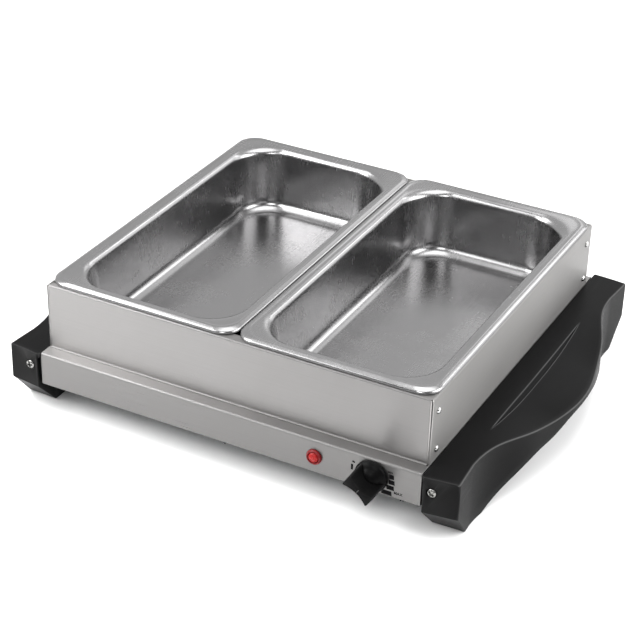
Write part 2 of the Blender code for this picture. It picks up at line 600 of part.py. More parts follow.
def make_frame():
    xw = BASE_X - SHEET - GAP                  # outer face of an end flange
    ear_top = FRAME_Z1 - 0.0100
    cutlist = []
    for s, tag in ((-1, "front"), (1, "back")):
        y = s * FRAME_Y
        bm = bmesh.new()
        # wall as a plane, then its edges folded back
        v = [bm.verts.new(p) for p in ((-xw, y, FRAME_Z0), (xw, y, FRAME_Z0), (xw, y, ear_top), (-xw, y, ear_top))]
        wall = bm.faces.new(v)
        top = [e for e in wall.edges if all(q.co.z > FRAME_Z0 + 1e-5 for q in e.verts)]
        ends = [e for e in wall.edges if abs(e.verts[0].co.x - e.verts[1].co.x) < 1e-6]
        up = bmesh.ops.extrude_edge_only(bm, edges=top)["geom"]
        for q in [g for g in up if isinstance(g, bmesh.types.BMVert)]:
            q.co.z = FRAME_Z1
        rim = [g for g in up if isinstance(g, bmesh.types.BMEdge) and all(abs(q.co.z - FRAME_Z1) < 1e-6 for q in g.verts)]
        fl = bmesh.ops.extrude_edge_only(bm, edges=rim)["geom"]
        for q in [g for g in fl if isinstance(g, bmesh.types.BMVert)]:
            q.co.y -= s * FRAME_FLANGE
            q.co.x -= math.copysign(FRAME_FLANGE + 0.0008, q.co.x)
        er = bmesh.ops.extrude_edge_only(bm, edges=ends)["geom"]
        for q in [g for g in er if isinstance(g, bmesh.types.BMVert)]:
            q.co.y -= s * FRAME_EAR
        bmesh.ops.recalc_face_normals(bm, faces=bm.faces)
        wall_face = max(bm.faces, key=lambda f: f.calc_area())
        if wall_face.normal.y * s < 0:
            bmesh.ops.reverse_faces(bm, faces=bm.faces)
        fold = [e for e in bm.edges if all(abs(q.co.z - FRAME_Z1) < 1e-6 and abs(q.co.y - y) < 1e-6 for q in e.verts)]
        bmesh.ops.bevel(bm, geom=fold, offset=FRAME_BEND, segments=3, profile=0.5, affect="EDGES")
        me = bpy.data.meshes.new("frame_" + tag)
        bm.to_mesh(me)
        bm.free()
        ob = add("frame_" + tag, me, steel("stainless_frame_" + tag), smooth=30)
        md = ob.modifiers.new("sheet", "SOLIDIFY")
        md.thickness = SHEET
        md.offset = -1.0
        md.use_even_offset = True
        cutlist.append(ob)
    for s, tag in ((-1, "left"), (1, "right")):
        x = s * BASE_X
        bm = bmesh.new()
        v = [bm.verts.new(p) for p in ((x, -FRAME_Y, FRAME_Z0), (x, FRAME_Y, FRAME_Z0), (x, FRAME_Y, FRAME_Z1), (x, -FRAME_Y, FRAME_Z1))]
        wall = bm.faces.new(v)
        top = [e for e in wall.edges if all(q.co.z > FRAME_Z0 + 1e-5 for q in e.verts)]
        fl = bmesh.ops.extrude_edge_only(bm, edges=top)["geom"]
        for q in [g for g in fl if isinstance(g, bmesh.types.BMVert)]:
            q.co.x -= s * FRAME_FLANGE
            q.co.y -= math.copysign(FRAME_FLANGE + 0.0016, q.co.y)
        bmesh.ops.recalc_face_normals(bm, faces=bm.faces)
        wall_face = max(bm.faces, key=lambda f: f.calc_area())
        if wall_face.normal.x * s < 0:
            bmesh.ops.reverse_faces(bm, faces=bm.faces)
        fold = [e for e in bm.edges if all(abs(q.co.z - FRAME_Z1) < 1e-6 and abs(q.co.x - x) < 1e-6 for q in e.verts)]
        bmesh.ops.bevel(bm, geom=fold, offset=FRAME_BEND, segments=3, profile=0.5, affect="EDGES")
        me = bpy.data.meshes.new("frame_" + tag)
        bm.to_mesh(me)
        bm.free()
        ob = add("frame_" + tag, me, steel("stainless_frame_" + tag), smooth=30)
        md = ob.modifiers.new("sheet", "SOLIDIFY")
        md.thickness = SHEET
        md.offset = -1.0
        md.use_even_offset = True
        cutlist.append(ob)
    # the ends of the side panels' flanges clear the front and back walls
    for ob in cutlist[2:]:
        s = -1 if ob.name.endswith("left") else 1
        nb = bmesh.new()
        for e in (-1, 1):
            xa, xb = s * (BASE_X - SHEET - 0.00005), s * (BASE_X - 0.020)
            ya, yb = e * (FRAME_Y - 0.0013), e * (FRAME_Y + 0.002)
            add_box(nb, min(xa, xb), max(xa, xb), min(ya, yb), max(ya, yb), FRAME_Z1 - 0.006, FRAME_Z1 + 0.002)
        boolean(ob, from_bm("cut_notch_" + ob.name, nb, None, cutters))
    # rivet holes through the side panels and the end flanges
    holes = bmesh.new()
    for sx in (-1, 1):
        for sy in (-1, 1):
            for z in RIVET_Z:
                add_rod(holes, 0.0018, (sx * (BASE_X - 0.004), sy * RIVET_Y, z), (sx * (BASE_X + 0.003), sy * RIVET_Y, z), 12)
    cut = from_bm("cut_rivet_holes", holes, None, cutters)
    for ob in cutlist:
        boolean(ob, cut)
    for sx, tx in ((-1, "left"), (1, "right")):
        for sy, ty in ((-1, "front"), (1, "back")):
            for z, tz in zip(RIVET_Z, ("lower", "upper")):
                a = GAP
                b = -(2 * SHEET + 2 * GAP)
                turned("rivet_%s_%s_%s" % (tx, ty, tz),
                       [(0.0, a + 0.0016), (0.0013, a + 0.0014), (0.0023, a + 0.0008), (0.0028, a), (0.0015, a),
                        (0.0015, b), (0.0023, b), (0.0019, b - 0.0012), (0.0, b - 0.0014)],
                       material("rivet_%s_%s_%s" % (tx, ty, tz), (0.60, 0.60, 0.59), 0.28, 1.0), 14,
                       along((sx * BASE_X, sy * RIVET_Y, z), (sx, 0, 0)))


# ---------------------------------------------------------------------- pans
def rounded_rect(x0, x1, y0, y1, r, seg=7):
    pts = []
    for cx, cy, a0 in ((x1 - r, y1 - r, 0), (x0 + r, y1 - r, 90), (x0 + r, y0 + r, 180), (x1 - r, y0 + r, 270)):
        for i in range(seg + 1):
            a = math.radians(a0 + 90 * i / seg)
            pts.append((cx + r * math.cos(a), cy + r * math.sin(a)))
    return pts


def pan_profile():
    """(inset from the rim edge, height, corner radius) from lip to floor."""
    z1, zf = PAN_RIM_Z, PAN_FLOOR_Z
    rim = [(0.0, PAN_LIP_Z, PAN_CORNER), (0.0, z1 - 0.0016, PAN_CORNER), (0.0006, z1 - 0.0004, PAN_CORNER),
           (0.0018, z1, PAN_CORNER)]
    out = list(rim)
    out.append((0.0042, z1 - 0.0002, PAN_CORNER + 0.002))
    out.append((0.0088, z1 - 0.0009, PAN_WELL_CORNER - 0.008))
    out.append((0.0112, z1 - 0.0022, PAN_WELL_CORNER - 0.003))
    out.append((0.0128, z1 - 0.0050, PAN_WELL_CORNER))
    foot = 0.0180
    out.append((foot - 0.0006, zf + 0.0110, PAN_WELL_CORNER - 0.002))
    for a in (25, 50, 75):
        t = math.radians(a)
        out.append((foot - 0.0006 + 0.0100 * (1 - math.cos(t)), zf + 0.0110 * (1 - math.sin(t)),
                    PAN_WELL_CORNER - 0.004 - 0.006 * a / 90))
    out.append((foot + 0.0110, zf, PAN_WELL_CORNER - 0.012))
    return out


def make_pan(name, side):
    x0, x1 = sorted((side * PAN_X0, side * PAN_X1))
    bm = bmesh.new()
    rings = []
    for inset, z, r in pan_profile():
        w = 1.0 - smooth01((inset - 0.0045) / 0.0050)
        left, right = (PAN_OUT * w, 0.0) if side < 0 else (0.0, PAN_OUT * w)
        pts = rounded_rect(x0 + inset - left, x1 - inset + right, -PAN_Y + inset, PAN_Y - inset + PAN_BACK * w, r)
        rings.append([bm.verts.new((x, y, z)) for x, y in pts])
    n = len(rings[0])
    for a, b in zip(rings, rings[1:]):
        for i in range(n):
            j = (i + 1) % n
            bm.faces.new((a[i], a[j], b[j], b[i]))
    bm.faces.new(rings[-1])
    bmesh.ops.recalc_face_normals(bm, faces=bm.faces)
    floor = max(bm.faces, key=lambda f: f.calc_area())
    if floor.normal.z < 0:
        bmesh.ops.reverse_faces(bm, faces=bm.faces)
    me = bpy.data.meshes.new(name)
    bm.to_mesh(me)
    bm.free()
    ob = add(name, me, steel("stainless_" + name, 0.60, 0.26), smooth=40)
    md = ob.modifiers.new("sheet", "SOLIDIFY")
    md.thickness = PAN_SHEET
    md.offset = -1.0
    md.use_even_offset = True
    return ob


make_base()
make_cover()
make_heater()
make_controls()
make_handle("handle_right", 1)
make_handle("handle_left", -1)
make_frame()
make_pan("pan_left", -1)
make_pan("pan_right", 1)
for ob in bpy.data.objects:
    if ob.parent is None:
        ob.location.y += ORIGIN_SHIFT
bpy.context.view_layer.update()
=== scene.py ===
import math

import bmesh
import bpy
from mathutils import Matrix, Vector


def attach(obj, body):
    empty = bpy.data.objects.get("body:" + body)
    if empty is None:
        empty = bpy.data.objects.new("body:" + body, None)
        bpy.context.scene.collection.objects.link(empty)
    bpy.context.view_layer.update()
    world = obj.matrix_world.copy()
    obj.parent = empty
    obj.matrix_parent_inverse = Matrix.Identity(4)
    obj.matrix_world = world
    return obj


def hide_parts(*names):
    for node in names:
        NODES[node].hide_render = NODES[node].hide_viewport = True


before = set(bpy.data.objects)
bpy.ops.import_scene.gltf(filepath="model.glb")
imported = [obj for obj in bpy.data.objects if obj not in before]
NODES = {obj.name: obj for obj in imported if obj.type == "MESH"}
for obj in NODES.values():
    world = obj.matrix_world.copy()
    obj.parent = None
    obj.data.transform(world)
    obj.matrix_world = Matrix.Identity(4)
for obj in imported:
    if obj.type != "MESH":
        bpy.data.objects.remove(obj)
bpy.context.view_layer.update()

COLL = bpy.data.collections.new("visual_pieces")
bpy.context.scene.collection.children.link(COLL)

# ------------------------------------------------------------- dimensions (m)
SHIFT = 0.0093              # the base centre lies this far behind the origin
SHEET, GAP = 0.0010, 0.0003
BASE_X, BASE_Y = 0.1775, 0.1822
BASE_Z0, DECK_Z = 0.0280, 0.0585
FRAME_Y, FRAME_Z0, FRAME_Z1 = 0.1690, 0.0588, 0.1183
FRAME_FLANGE, FRAME_EAR, FRAME_BEND = 0.0095, 0.0200, 0.0016
PAN_X0, PAN_X1, PAN_Y, PAN_BACK = 0.0003, 0.1760, 0.1670, 0.0032
PAN_OUT = {-1: 0.0025, 1: 0.0014}    # each pan lies a little to the left in its play
HANDLE_U0, HANDLE_END, HANDLE_BACK, HANDLE_TOP = 0.0022, 0.1850, 0.1878, 0.0585
LEAN_FRONT, LEAN_BACK, LEAN_FROM, FITTING_FRONT = 0.135, 0.071, 0.1500, 0.1840
HANDLE_FOOT0, HANDLE_FOOT1, HANDLE_WALL = 0.1300, 0.1605, 0.0035
LEAF_HALF, LEAF_DEPTH, GRIP_HALF = 0.0980, 0.0010, 0.1150
SCREW_U, SCREW_Z = 0.0100, 0.0455
RIVET_Y, RIVET_Z = 0.1575, (0.0682, 0.1035)
KNOB_X, KNOB_Z, KNOB_TILT = 0.1354, 0.0432, math.radians(34.0)
KNOB_BACK_Y, KNOB_FRONT_Y = -0.1832, -0.2078
LAMP_X, LAMP_Z = 0.0843, 0.0432
GLAND_X, GLAND_Z = 0.1200, 0.0432


# ---------------------------------------------------------- material helpers
class Mat:
    """A Principled material with short calls for its texture nodes."""

    def __init__(self, name, **sockets):
        self.mat = bpy.data.materials.new(name)
        self.mat.use_nodes = True
        self.nt = self.mat.node_tree
        self.b = self.nt.nodes["Principled BSDF"]
        self.tc = self.nt.nodes.new("ShaderNodeTexCoord")
        for k, v in sockets.items():
            self.b.inputs[k.replace("_", " ")].default_value = v

    def node(self, kind, **props):
        n = self.nt.nodes.new(kind)
        for k, v in props.items():
            setattr(n, k, v)
        return n

    def link(self, a, b):
        self.nt.links.new(a, b)

    def coords(self, stretch=(1, 1, 1), turn=(0, 0, 0), space="Object"):
        mp = self.node("ShaderNodeMapping")
        mp.inputs["Scale"].default_value = stretch
        mp.inputs["Rotation"].default_value = turn
        self.link(self.tc.outputs[space], mp.inputs["Vector"])
        return mp.outputs["Vector"]

    def noise(self, scale, detail=2.0, rough=0.5, stretch=(1, 1, 1), turn=(0, 0, 0), warp=0.0):
        n = self.node("ShaderNodeTexNoise")
        n.inputs["Scale"].default_value = scale
        n.inputs["Detail"].default_value = detail
        n.inputs["Roughness"].default_value = rough
        n.inputs["Distortion"].default_value = warp
        self.link(self.coords(stretch, turn), n.inputs["Vector"])
        return n.outputs["Fac"]

    def cells(self, scale, stretch=(1, 1, 1), feature="F1", out="Distance"):
        n = self.node("ShaderNodeTexVoronoi", feature=feature)
        n.inputs["Scale"].default_value = scale
        self.link(self.coords(stretch), n.inputs["Vector"])
        return n.outputs[out]

    def remap(self, fac, a, b, lo=0.3, hi=0.7):
        n = self.node("ShaderNodeMapRange")
        for k, v in (("From Min", lo), ("From Max", hi), ("To Min", a), ("To Max", b)):
            n.inputs[k].default_value = v
        self.link(fac, n.inputs["Value"])
        return n.outputs["Result"]

    def math(self, op, a, b):
        n = self.node("ShaderNodeMath", operation=op)
        for i, v in enumerate((a, b)):
            if isinstance(v, (int, float)):
                n.inputs[i].default_value = v
            else:
                self.link(v, n.inputs[i])
        return n.outputs[0]

    def colours(self, fac, c0, c1):
        n = self.node("ShaderNodeMix", data_type="RGBA")
        n.inputs["A"].default_value = (*c0, 1)
        n.inputs["B"].default_value = (*c1, 1)
        for i in n.inputs:
            if i.name == "A" and i.type == "RGBA":
                i.default_value = (*c0, 1)
            if i.name == "B" and i.type == "RGBA":
                i.default_value = (*c1, 1)
        self.link(fac, n.inputs["Factor"])
        return [o for o in n.outputs if o.type == "RGBA"][0]

    def blend(self, fac, a, b):
        n = self.node("ShaderNodeMix", data_type="RGBA")
        ins = [i for i in n.inputs if i.type == "RGBA"]
        self.link(fac, n.inputs["Factor"])
        self.link(a, ins[0])
        self.link(b, ins[1])
        return [o for o in n.outputs if o.type == "RGBA"][0]

    def bump(self, height, distance, strength=1.0, under=None):
        n = self.node("ShaderNodeBump")
        n.inputs["Strength"].default_value = strength
        n.inputs["Distance"].default_value = distance
        self.link(height, n.inputs["Height"])
        if under is not None:
            self.link(under, n.inputs["Normal"])
        return n.outputs["Normal"]

    # lighter convex edges from pointiness: partly wear, partly painted highlight
    def edge_wear_and_sheen(self, a=0.50, b=0.56):
        g = self.node("ShaderNodeNewGeometry")
        return self.remap(g.outputs["Pointiness"], 0.0, 1.0, a, b)

    def to(self, socket, out):
        self.link(out, self.b.inputs[socket])


def brushed(name, axis, colour=(0.46, 0.455, 0.445), rough=0.30, spread=0.62, grain=1.0):
    """Satin stainless with its grain along one axis."""
    m = Mat(name, Metallic=1.0, Anisotropic=spread)
    fine = [2600.0, 2600.0, 2600.0]
    wide = [420.0, 420.0, 420.0]
    fine["XYZ".index(axis)] = 9.0
    wide["XYZ".index(axis)] = 2.2
    f = m.noise(1.0, 3.0, 0.62, stretch=fine)
    w = m.noise(1.0, 2.0, 0.5, stretch=wide)
    cloud = m.noise(9.0, 3.0, 0.55, warp=0.4)
    scratch = m.noise(1.0, 1.0, 0.4, stretch=[v * 0.8 if v > 100 else v * 5 for v in fine])
    sc = m.remap(scratch, 0.0, 1.0, 0.70, 0.76)
    dark = [c * (1 - 0.075 * grain) for c in colour]
    light = [min(c * (1 + 0.075 * grain), 1.0) for c in colour]
    col = m.colours(m.remap(f, 0.0, 1.0, 0.30, 0.70), dark, light)
    col2 = m.colours(m.remap(cloud, 0.0, 1.0, 0.35, 0.68), [c * 0.97 for c in colour], [min(c * 1.03, 1) for c in (colour[0], colour[1], colour[2] * 0.99)])
    m.to("Base Color", m.blend(m.remap(w, 0.25, 0.60, 0.3, 0.7), col, col2))
    r = m.math("ADD", m.remap(f, -0.05 * grain, 0.05 * grain, 0.3, 0.7), m.remap(cloud, rough - 0.03, rough + 0.045, 0.35, 0.68))
    m.to("Roughness", m.math("ADD", r, m.math("MULTIPLY", sc, -0.04)))
    h = m.math("ADD", m.math("MULTIPLY", f, 0.7), m.math("MULTIPLY", w, 0.12))
    m.to("Normal", m.bump(h, 0.000012 * grain, 1.0))
    t = m.node("ShaderNodeTangent", direction_type="RADIAL", axis=axis)
    m.link(t.outputs["Tangent"], m.b.inputs["Tangent"])
    return m.mat


def drawn(name, colour=(0.275, 0.273, 0.275), rough=0.24):
    """Pressed and polished stainless of a pan: soft draw marks, fine rub marks, faint water spots."""
    m = Mat(name, Metallic=1.0, Anisotropic=0.15)
    fine = m.noise(900.0, 3.0, 0.6)
    rub = m.noise(1.0, 2.0, 0.5, stretch=(60, 900, 60), turn=(0, 0, 0.5))
    rub2 = m.noise(1.0, 2.0, 0.5, stretch=(900, 50, 60), turn=(0, 0, 0.35))
    cloud = m.noise(14.0, 4.0, 0.6, warp=0.6)
    spots = m.cells(60.0, feature="SMOOTH_F1")
    col = m.colours(m.remap(cloud, 0, 1, 0.34, 0.68), [c * 0.95 for c in colour], [c * 1.04 for c in colour])
    colf = m.colours(m.remap(fine, 0, 1), [c * 0.94 for c in colour], [c * 1.05 for c in colour])
    m.to("Base Color", m.blend(m.remap(rub, 0.2, 0.7), col, colf))
    r = m.math("ADD", m.remap(cloud, rough - 0.03, rough + 0.05, 0.34, 0.68), m.remap(m.math("MULTIPLY", rub, rub2), -0.02, 0.035, 0.15, 0.40))
    m.to("Roughness", m.math("ADD", r, m.remap(spots, 0.004, -0.002, 0.02, 0.25)))
    h = m.math("ADD", m.math("MULTIPLY", rub, 0.5), m.math("MULTIPLY", rub2, 0.5))
    n = m.bump(h, 0.000006)
    m.to("Normal", m.bump(m.noise(22.0, 1.0, 0.4), 0.00007, 1.0, under=n))
    return m.mat


def moulded(name, colour=0.0075, rough=0.44, spec=0.42, grain=1.0, edge=0.030, texture=1500.0, painted_lines=0.0):
    """Black moulded plastic: spark-eroded grain, lighter on its convex edges, partly as wear and partly as painted
    highlight, and optionally painted highlight lines from a point attribute.
    """
    m = Mat(name, **{"Specular IOR Level": spec})
    fine = m.noise(texture, 2.0, 0.55)
    cell = m.cells(texture * 0.8)
    cloud = m.noise(16.0, 3.0, 0.55)
    scuff = m.noise(1.0, 2.0, 0.5, stretch=(240, 30, 240), turn=(0, 0, 0.3))
    c = [colour, colour, colour * 1.03]
    base = m.colours(m.remap(cloud, 0, 1), [v * 0.85 for v in c], [v * 1.2 for v in c])
    # lighter edge tone, used for worn edges and for painted highlights alike
    worn_and_sheen = m.colours(fine, [edge * 0.8] * 3, [edge * 1.25] * 3)
    w = m.math("MULTIPLY", m.edge_wear_and_sheen(0.515, 0.60), m.remap(cloud, 0.35, 0.95))
    # painted highlight lines, laid on by a point attribute along the handle's crease and leaf
    if painted_lines:
        a = m.node("ShaderNodeAttribute", attribute_name="painted_highlight")
        w = m.math("MAXIMUM", w, m.math("MULTIPLY", a.outputs["Fac"], m.remap(cloud, painted_lines * 0.8, painted_lines)))
    m.to("Base Color", m.blend(w, base, worn_and_sheen))
    r = m.math("ADD", m.remap(fine, rough - 0.04, rough + 0.04), m.remap(scuff, 0.0, -0.05, 0.60, 0.75))
    m.to("Roughness", m.math("ADD", r, m.remap(cloud, -0.02, 0.03)))
    h = m.math("ADD", m.math("MULTIPLY", fine, 0.55), m.math("MULTIPLY", cell, 0.45))
    m.to("Normal", m.bump(h, 0.000045 * grain))
    return m.mat


def plated(name, colour=(0.72, 0.72, 0.71), rough=0.22, tint=0.0):
    """Bright plated steel of screws, rivets and brackets, with turning marks and dull patches."""
    m = Mat(name, Metallic=1.0)
    fine = m.noise(2400.0, 2.0, 0.6)
    cloud = m.noise(120.0, 3.0, 0.6)
    c2 = (colour[0] * 0.86, colour[1] * 0.86, colour[2] * (0.84 - tint))
    m.to("Base Color", m.colours(m.remap(cloud, 0, 1), c2, colour))
    m.to("Roughness", m.math("ADD", m.remap(fine, rough - 0.05, rough + 0.05), m.remap(cloud, 0.05, -0.02)))
    m.to("Normal", m.bump(m.math("ADD", fine, cloud), 0.000014))
    return m.mat


def galvanised(name):
    """Spangled zinc-coated sheet of the bottom cover."""
    m = Mat(name, Metallic=0.9)
    cell = m.node("ShaderNodeTexVoronoi", feature="F1")
    cell.inputs["Scale"].default_value = 95.0
    m.link(m.coords((1, 1, 0.2)), cell.inputs["Vector"])
    sep = m.node("ShaderNodeSeparateColor")
    m.link(cell.outputs["Color"], sep.inputs[0])
    fine = m.noise(1400.0, 2.0, 0.6)
    cloud = m.noise(7.0, 3.0, 0.5)
    a = m.colours(sep.outputs[0], (0.15, 0.152, 0.155), (0.22, 0.223, 0.226))
    b = m.colours(m.remap(cloud, 0, 1), (0.16, 0.16, 0.16), (0.20, 0.202, 0.204))
    m.to("Base Color", m.blend(m.remap(fine, 0.2, 0.5), a, b))
    m.to("Roughness", m.math("ADD", m.remap(sep.outputs[1], 0.40, 0.56, 0, 1), m.remap(fine, -0.04, 0.04)))
    m.to("Normal", m.bump(m.math("ADD", fine, sep.outputs[2]), 0.00001))
    return m.mat


def plain_moulding(name, c0, c1, rough=0.5, speck=0.3, spec=0.5, bump=0.00003):
    """Phenolic, ceramic or nylon inside parts: two mixed tones, specks and a dull grain."""
    m = Mat(name, **{"Specular IOR Level": spec})
    cloud = m.noise(60.0, 4.0, 0.6)
    fine = m.noise(900.0, 2.0, 0.6)
    a = m.colours(m.remap(cloud, 0, 1), c0, c1)
    b = m.colours(m.remap(fine, 0, 1, 0.4, 0.6), [v * (1 - speck) for v in c0], [min(v * (1 + speck), 1) for v in c1])
    m.to("Base Color", m.blend(m.remap(fine, 0.0, 0.5, 0.4, 0.75), a, b))
    m.to("Roughness", m.remap(cloud, rough - 0.06, rough + 0.08))
    m.to("Normal", m.bump(fine, bump))
    return m.mat


def heated(name, c0, c1, rough=0.4):
    """Element sheath and heat plate: metal with heat tints."""
    m = Mat(name, Metallic=0.95)
    band = m.noise(18.0, 3.0, 0.6, warp=1.2)
    fine = m.noise(1.0, 2.0, 0.6, stretch=(30, 1800, 1800))
    a = m.colours(m.remap(band, 0, 1), c0, c1)
    b = m.colours(m.remap(fine, 0, 1), [v * 0.9 for v in c0], [min(1, v * 1.1) for v in c1])
    m.to("Base Color", m.blend(m.remap(fine, 0.2, 0.6), a, b))
    m.to("Roughness", m.math("ADD", m.remap(band, rough - 0.05, rough + 0.08), m.remap(fine, -0.04, 0.04)))
    m.to("Normal", m.bump(fine, 0.000012))
    return m.mat


def red_lens(name, c0, c1, rough, coat, bump, scale):
    m = Mat(name, **{"Coat Weight": coat, "Coat Roughness": 0.12, "Specular IOR Level": 0.22, "Subsurface Weight": 0.25,
                     "Subsurface Scale": 0.0015, "Subsurface Radius": (1.0, 0.15, 0.12)})
    cell = m.cells(scale)
    cloud = m.noise(260.0, 2.0, 0.5)
    m.to("Base Color", m.colours(m.remap(m.math("ADD", cell, m.math("MULTIPLY", cloud, 0.5)), 0, 1, 0.3, 1.0), c1, c0))
    m.to("Roughness", m.remap(cloud, rough - 0.04, rough + 0.06))
    m.to("Normal", m.bump(m.math("ADD", cell, cloud), bump))
    return m.mat


def ink(name, c=(0.002, 0.002, 0.0022)):
    m = Mat(name, **{"Specular IOR Level": 0.03})
    fine = m.noise(3200.0, 2.0, 0.6)
    cloud = m.noise(320.0, 2.0, 0.6)
    m.to("Base Color", m.colours(m.remap(cloud, 0, 1), c, [v * 2.6 for v in c]))
    m.to("Roughness", m.remap(fine, 0.42, 0.62))
    m.to("Normal", m.bump(fine, 0.00001))
    return m.mat


STEEL = dict(colour=(0.222, 0.217, 0.215), rough=0.34, spread=0.80)
MATS = {
    "front": brushed("stainless_grain_x", "X", **STEEL),
    "side": brushed("stainless_grain_y", "Y", (0.226, 0.222, 0.218), 0.46, 0.86),
    "base": brushed("stainless_base_grain_x", "X", (0.163, 0.160, 0.158), 0.34, 0.70),
    # fold: a rougher copy of the steel, darker than the frame's; on the frame bends its darkness is painted shade that
    # dims their highlight lines
    "fold": brushed("stainless_fold_x_painted_shade", "X", (0.170, 0.167, 0.166), 0.52, 0.40),
    # edge: a lighter copy of the steel for the vertical corner bends and margins, painted highlight
    "edge": brushed("stainless_edge_z_painted_highlight", "Z", (0.42, 0.41, 0.405), 0.50, 0.20),
    # deck: a lighter copy of the base steel for the up-facing deck, painted light
    "deck": brushed("stainless_deck_painted_light_grain_x", "X", (0.235, 0.230, 0.227), 0.37, 0.70),
    "pan": drawn("stainless_drawn"),
    # hem: a duller, darker copy of the pan steel for the folded edge; its darkness is painted shade over the hem's
    # highlight
    "hem": drawn("stainless_hem_painted_shade_dull", (0.150, 0.149, 0.150), 0.50),
    # the handle material carries the painted highlight lines
    "handle": moulded("black_handle_grain", 0.0042, 0.42, 0.045, texture=1300.0, edge=0.085, painted_lines=1.0),
    "knob": moulded("black_knob_satin", 0.0022, 0.36, 0.045, grain=0.45, edge=0.02, texture=2200.0),
    "gland": moulded("black_gland_nylon", 0.010, 0.50, 0.35, grain=0.6, texture=1800.0),
    "bright": plated("bright_screw_steel", (0.27, 0.27, 0.265), 0.20),
    "rivet": plated("bright_rivet_steel", (0.52, 0.52, 0.52), 0.20),
    "zinc": plated("zinc_plate", (0.60, 0.59, 0.54), 0.36, 0.06),
    "blackened": plated("blackened_steel", (0.030, 0.030, 0.032), 0.48),
    "cover": galvanised("galvanised_cover"),
    "ceramic": plain_moulding("ceramic_white", (0.70, 0.69, 0.64), (0.80, 0.79, 0.75), 0.45, 0.12),
    "phenolic": plain_moulding("phenolic_brown", (0.060, 0.030, 0.018), (0.120, 0.062, 0.036), 0.50, 0.35),
    "sheath": heated("element_sheath", (0.16, 0.13, 0.11), (0.30, 0.27, 0.24), 0.45),
    "plate": heated("heat_plate", (0.56, 0.56, 0.57), (0.68, 0.68, 0.68), 0.40),
    "lens": red_lens("lamp_lens_red", (0.33, 0.010, 0.009), (0.20, 0.004, 0.005), 0.30, 0.05, 0.00010, 900.0),
    "bezel": red_lens("lamp_bezel_red", (0.15, 0.005, 0.006), (0.10, 0.003, 0.004), 0.36, 0.05, 0.00003, 1600.0),
    "ink": ink("printed_black"),
    "pointer": ink("printed_grey", (0.050, 0.050, 0.050)),
}


# ---------------------------------------------------------- geometry helpers
def piece(name, bm, mat, body, stands_for=(), angle=32.0, shift=True, second=None):
    """Make a finished piece of a bmesh drawn about the base centre."""
    bmesh.ops.remove_doubles(bm, verts=bm.verts, dist=1e-7)
    bmesh.ops.recalc_face_normals(bm, faces=bm.faces)
    limit = math.radians(angle)
    for f in bm.faces:
        f.smooth = True
    for e in bm.edges:
        e.smooth = not (len(e.link_faces) == 2 and e.calc_face_angle(0.0) > limit)
    if second:
        for f in bm.faces:
            if second[1](f.calc_center_median(), f.normal):
                f.material_index = 1
    if shift:
        for v in bm.verts:
            v.co.y += SHIFT
    me = bpy.data.meshes.new(name)
    bm.to_mesh(me)
    bm.free()
    me.materials.append(mat)
    if second:
        me.materials.append(second[0])
    ob = bpy.data.objects.new(name, me)
    COLL.objects.link(ob)
    if stands_for:
        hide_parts(*stands_for)
    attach(ob, body)
    return ob


def tube(bm, rings, caps=True):
    """Skin a run of loops that have the same number of points."""
    vs = [[bm.verts.new(p) for p in r] for r in rings]
    n = len(vs[0])
    for a, b in zip(vs, vs[1:]):
        for i in range(n):
            j = (i + 1) % n
            bm.faces.new((a[i], a[j], b[j], b[i]))
    if caps:
        bm.faces.new(vs[0][::-1])
        bm.faces.new(vs[-1])
    return vs


def rounded(x0, x1, y0, y1, r, seg=12):
    pts = []
    for cx, cy, a0 in ((x1 - r, y1 - r, 0.0), (x0 + r, y1 - r, 0.5), (x0 + r, y0 + r, 1.0), (x1 - r, y0 + r, 1.5)):
        for k in range(seg + 1):
            a = math.pi * (a0 + 0.5 * k / seg)
            pts.append((cx + r * math.cos(a), cy + r * math.sin(a)))
    return pts


def bent(points, radii, seg=6):
    """A polyline with its inner corners rounded, as sheet is bent."""
    out = [Vector(points[0])]
    for i in range(1, len(points) - 1):
        p, a, b = Vector(points[i]), Vector(points[i - 1]), Vector(points[i + 1])
        u, w = (a - p).normalized(), (b - p).normalized()
        half = u.angle(w) / 2
        r = radii[i - 1]
        t = r / math.tan(half)
        c = p + (u + w).normalized() * (r / math.sin(half))
        s, e = p + u * t - c, p + w * t - c
        ang = math.atan2(s.x * e.y - s.y * e.x, s.dot(e))
        for k in range(seg + 1):
            q = ang * k / seg
            out.append(c + Vector((s.x * math.cos(q) - s.y * math.sin(q), s.x * math.sin(q) + s.y * math.cos(q))))
    out.append(Vector(points[-1]))
    return out


def sheet_loop(path, t, side):
    """The outer path and its offset inwards by the sheet's thickness, as one closed loop."""
    inner = []
    for i, p in enumerate(path):
        a = path[max(i - 1, 0)]
        b = path[min(i + 1, len(path) - 1)]
        d = (b - a).normalized()
        inner.append(p + Vector((-d.y, d.x)) * t * side)
    return [(p.x, p.y) for p in path] + [(p.x, p.y) for p in inner[::-1]]


def turned_mesh(bm, profile, steps, matrix):
    rings = []
    for r, h in profile:
        rings.append((r, h))
    grid = []
    for r, h in rings:
        if r < 1e-7:
            grid.append([bm.verts.new(matrix @ Vector((0, 0, h)))])
        else:
            grid.append([bm.verts.new(matrix @ Vector((r * math.cos(math.tau * k / steps), r * math.sin(math.tau * k / steps), h)))
                         for k in range(steps)])
    for a, b in zip(grid, grid[1:]):
        for k in range(steps):
            j = (k + 1) % steps
            if len(a) == 1 and len(b) > 1:
                bm.faces.new((a[0], b[k], b[j]))
            elif len(b) == 1 and len(a) > 1:
                bm.faces.new((a[k], a[j], b[0]))
            elif len(a) > 1:
                bm.faces.new((a[k], a[j], b[j], b[k]))
    return grid


def aimed(origin, direction):
    z = Vector(direction).normalized()
    m = z.to_track_quat("Z", "Y").to_matrix().to_4x4()
    m.translation = Vector(origin)
    return m


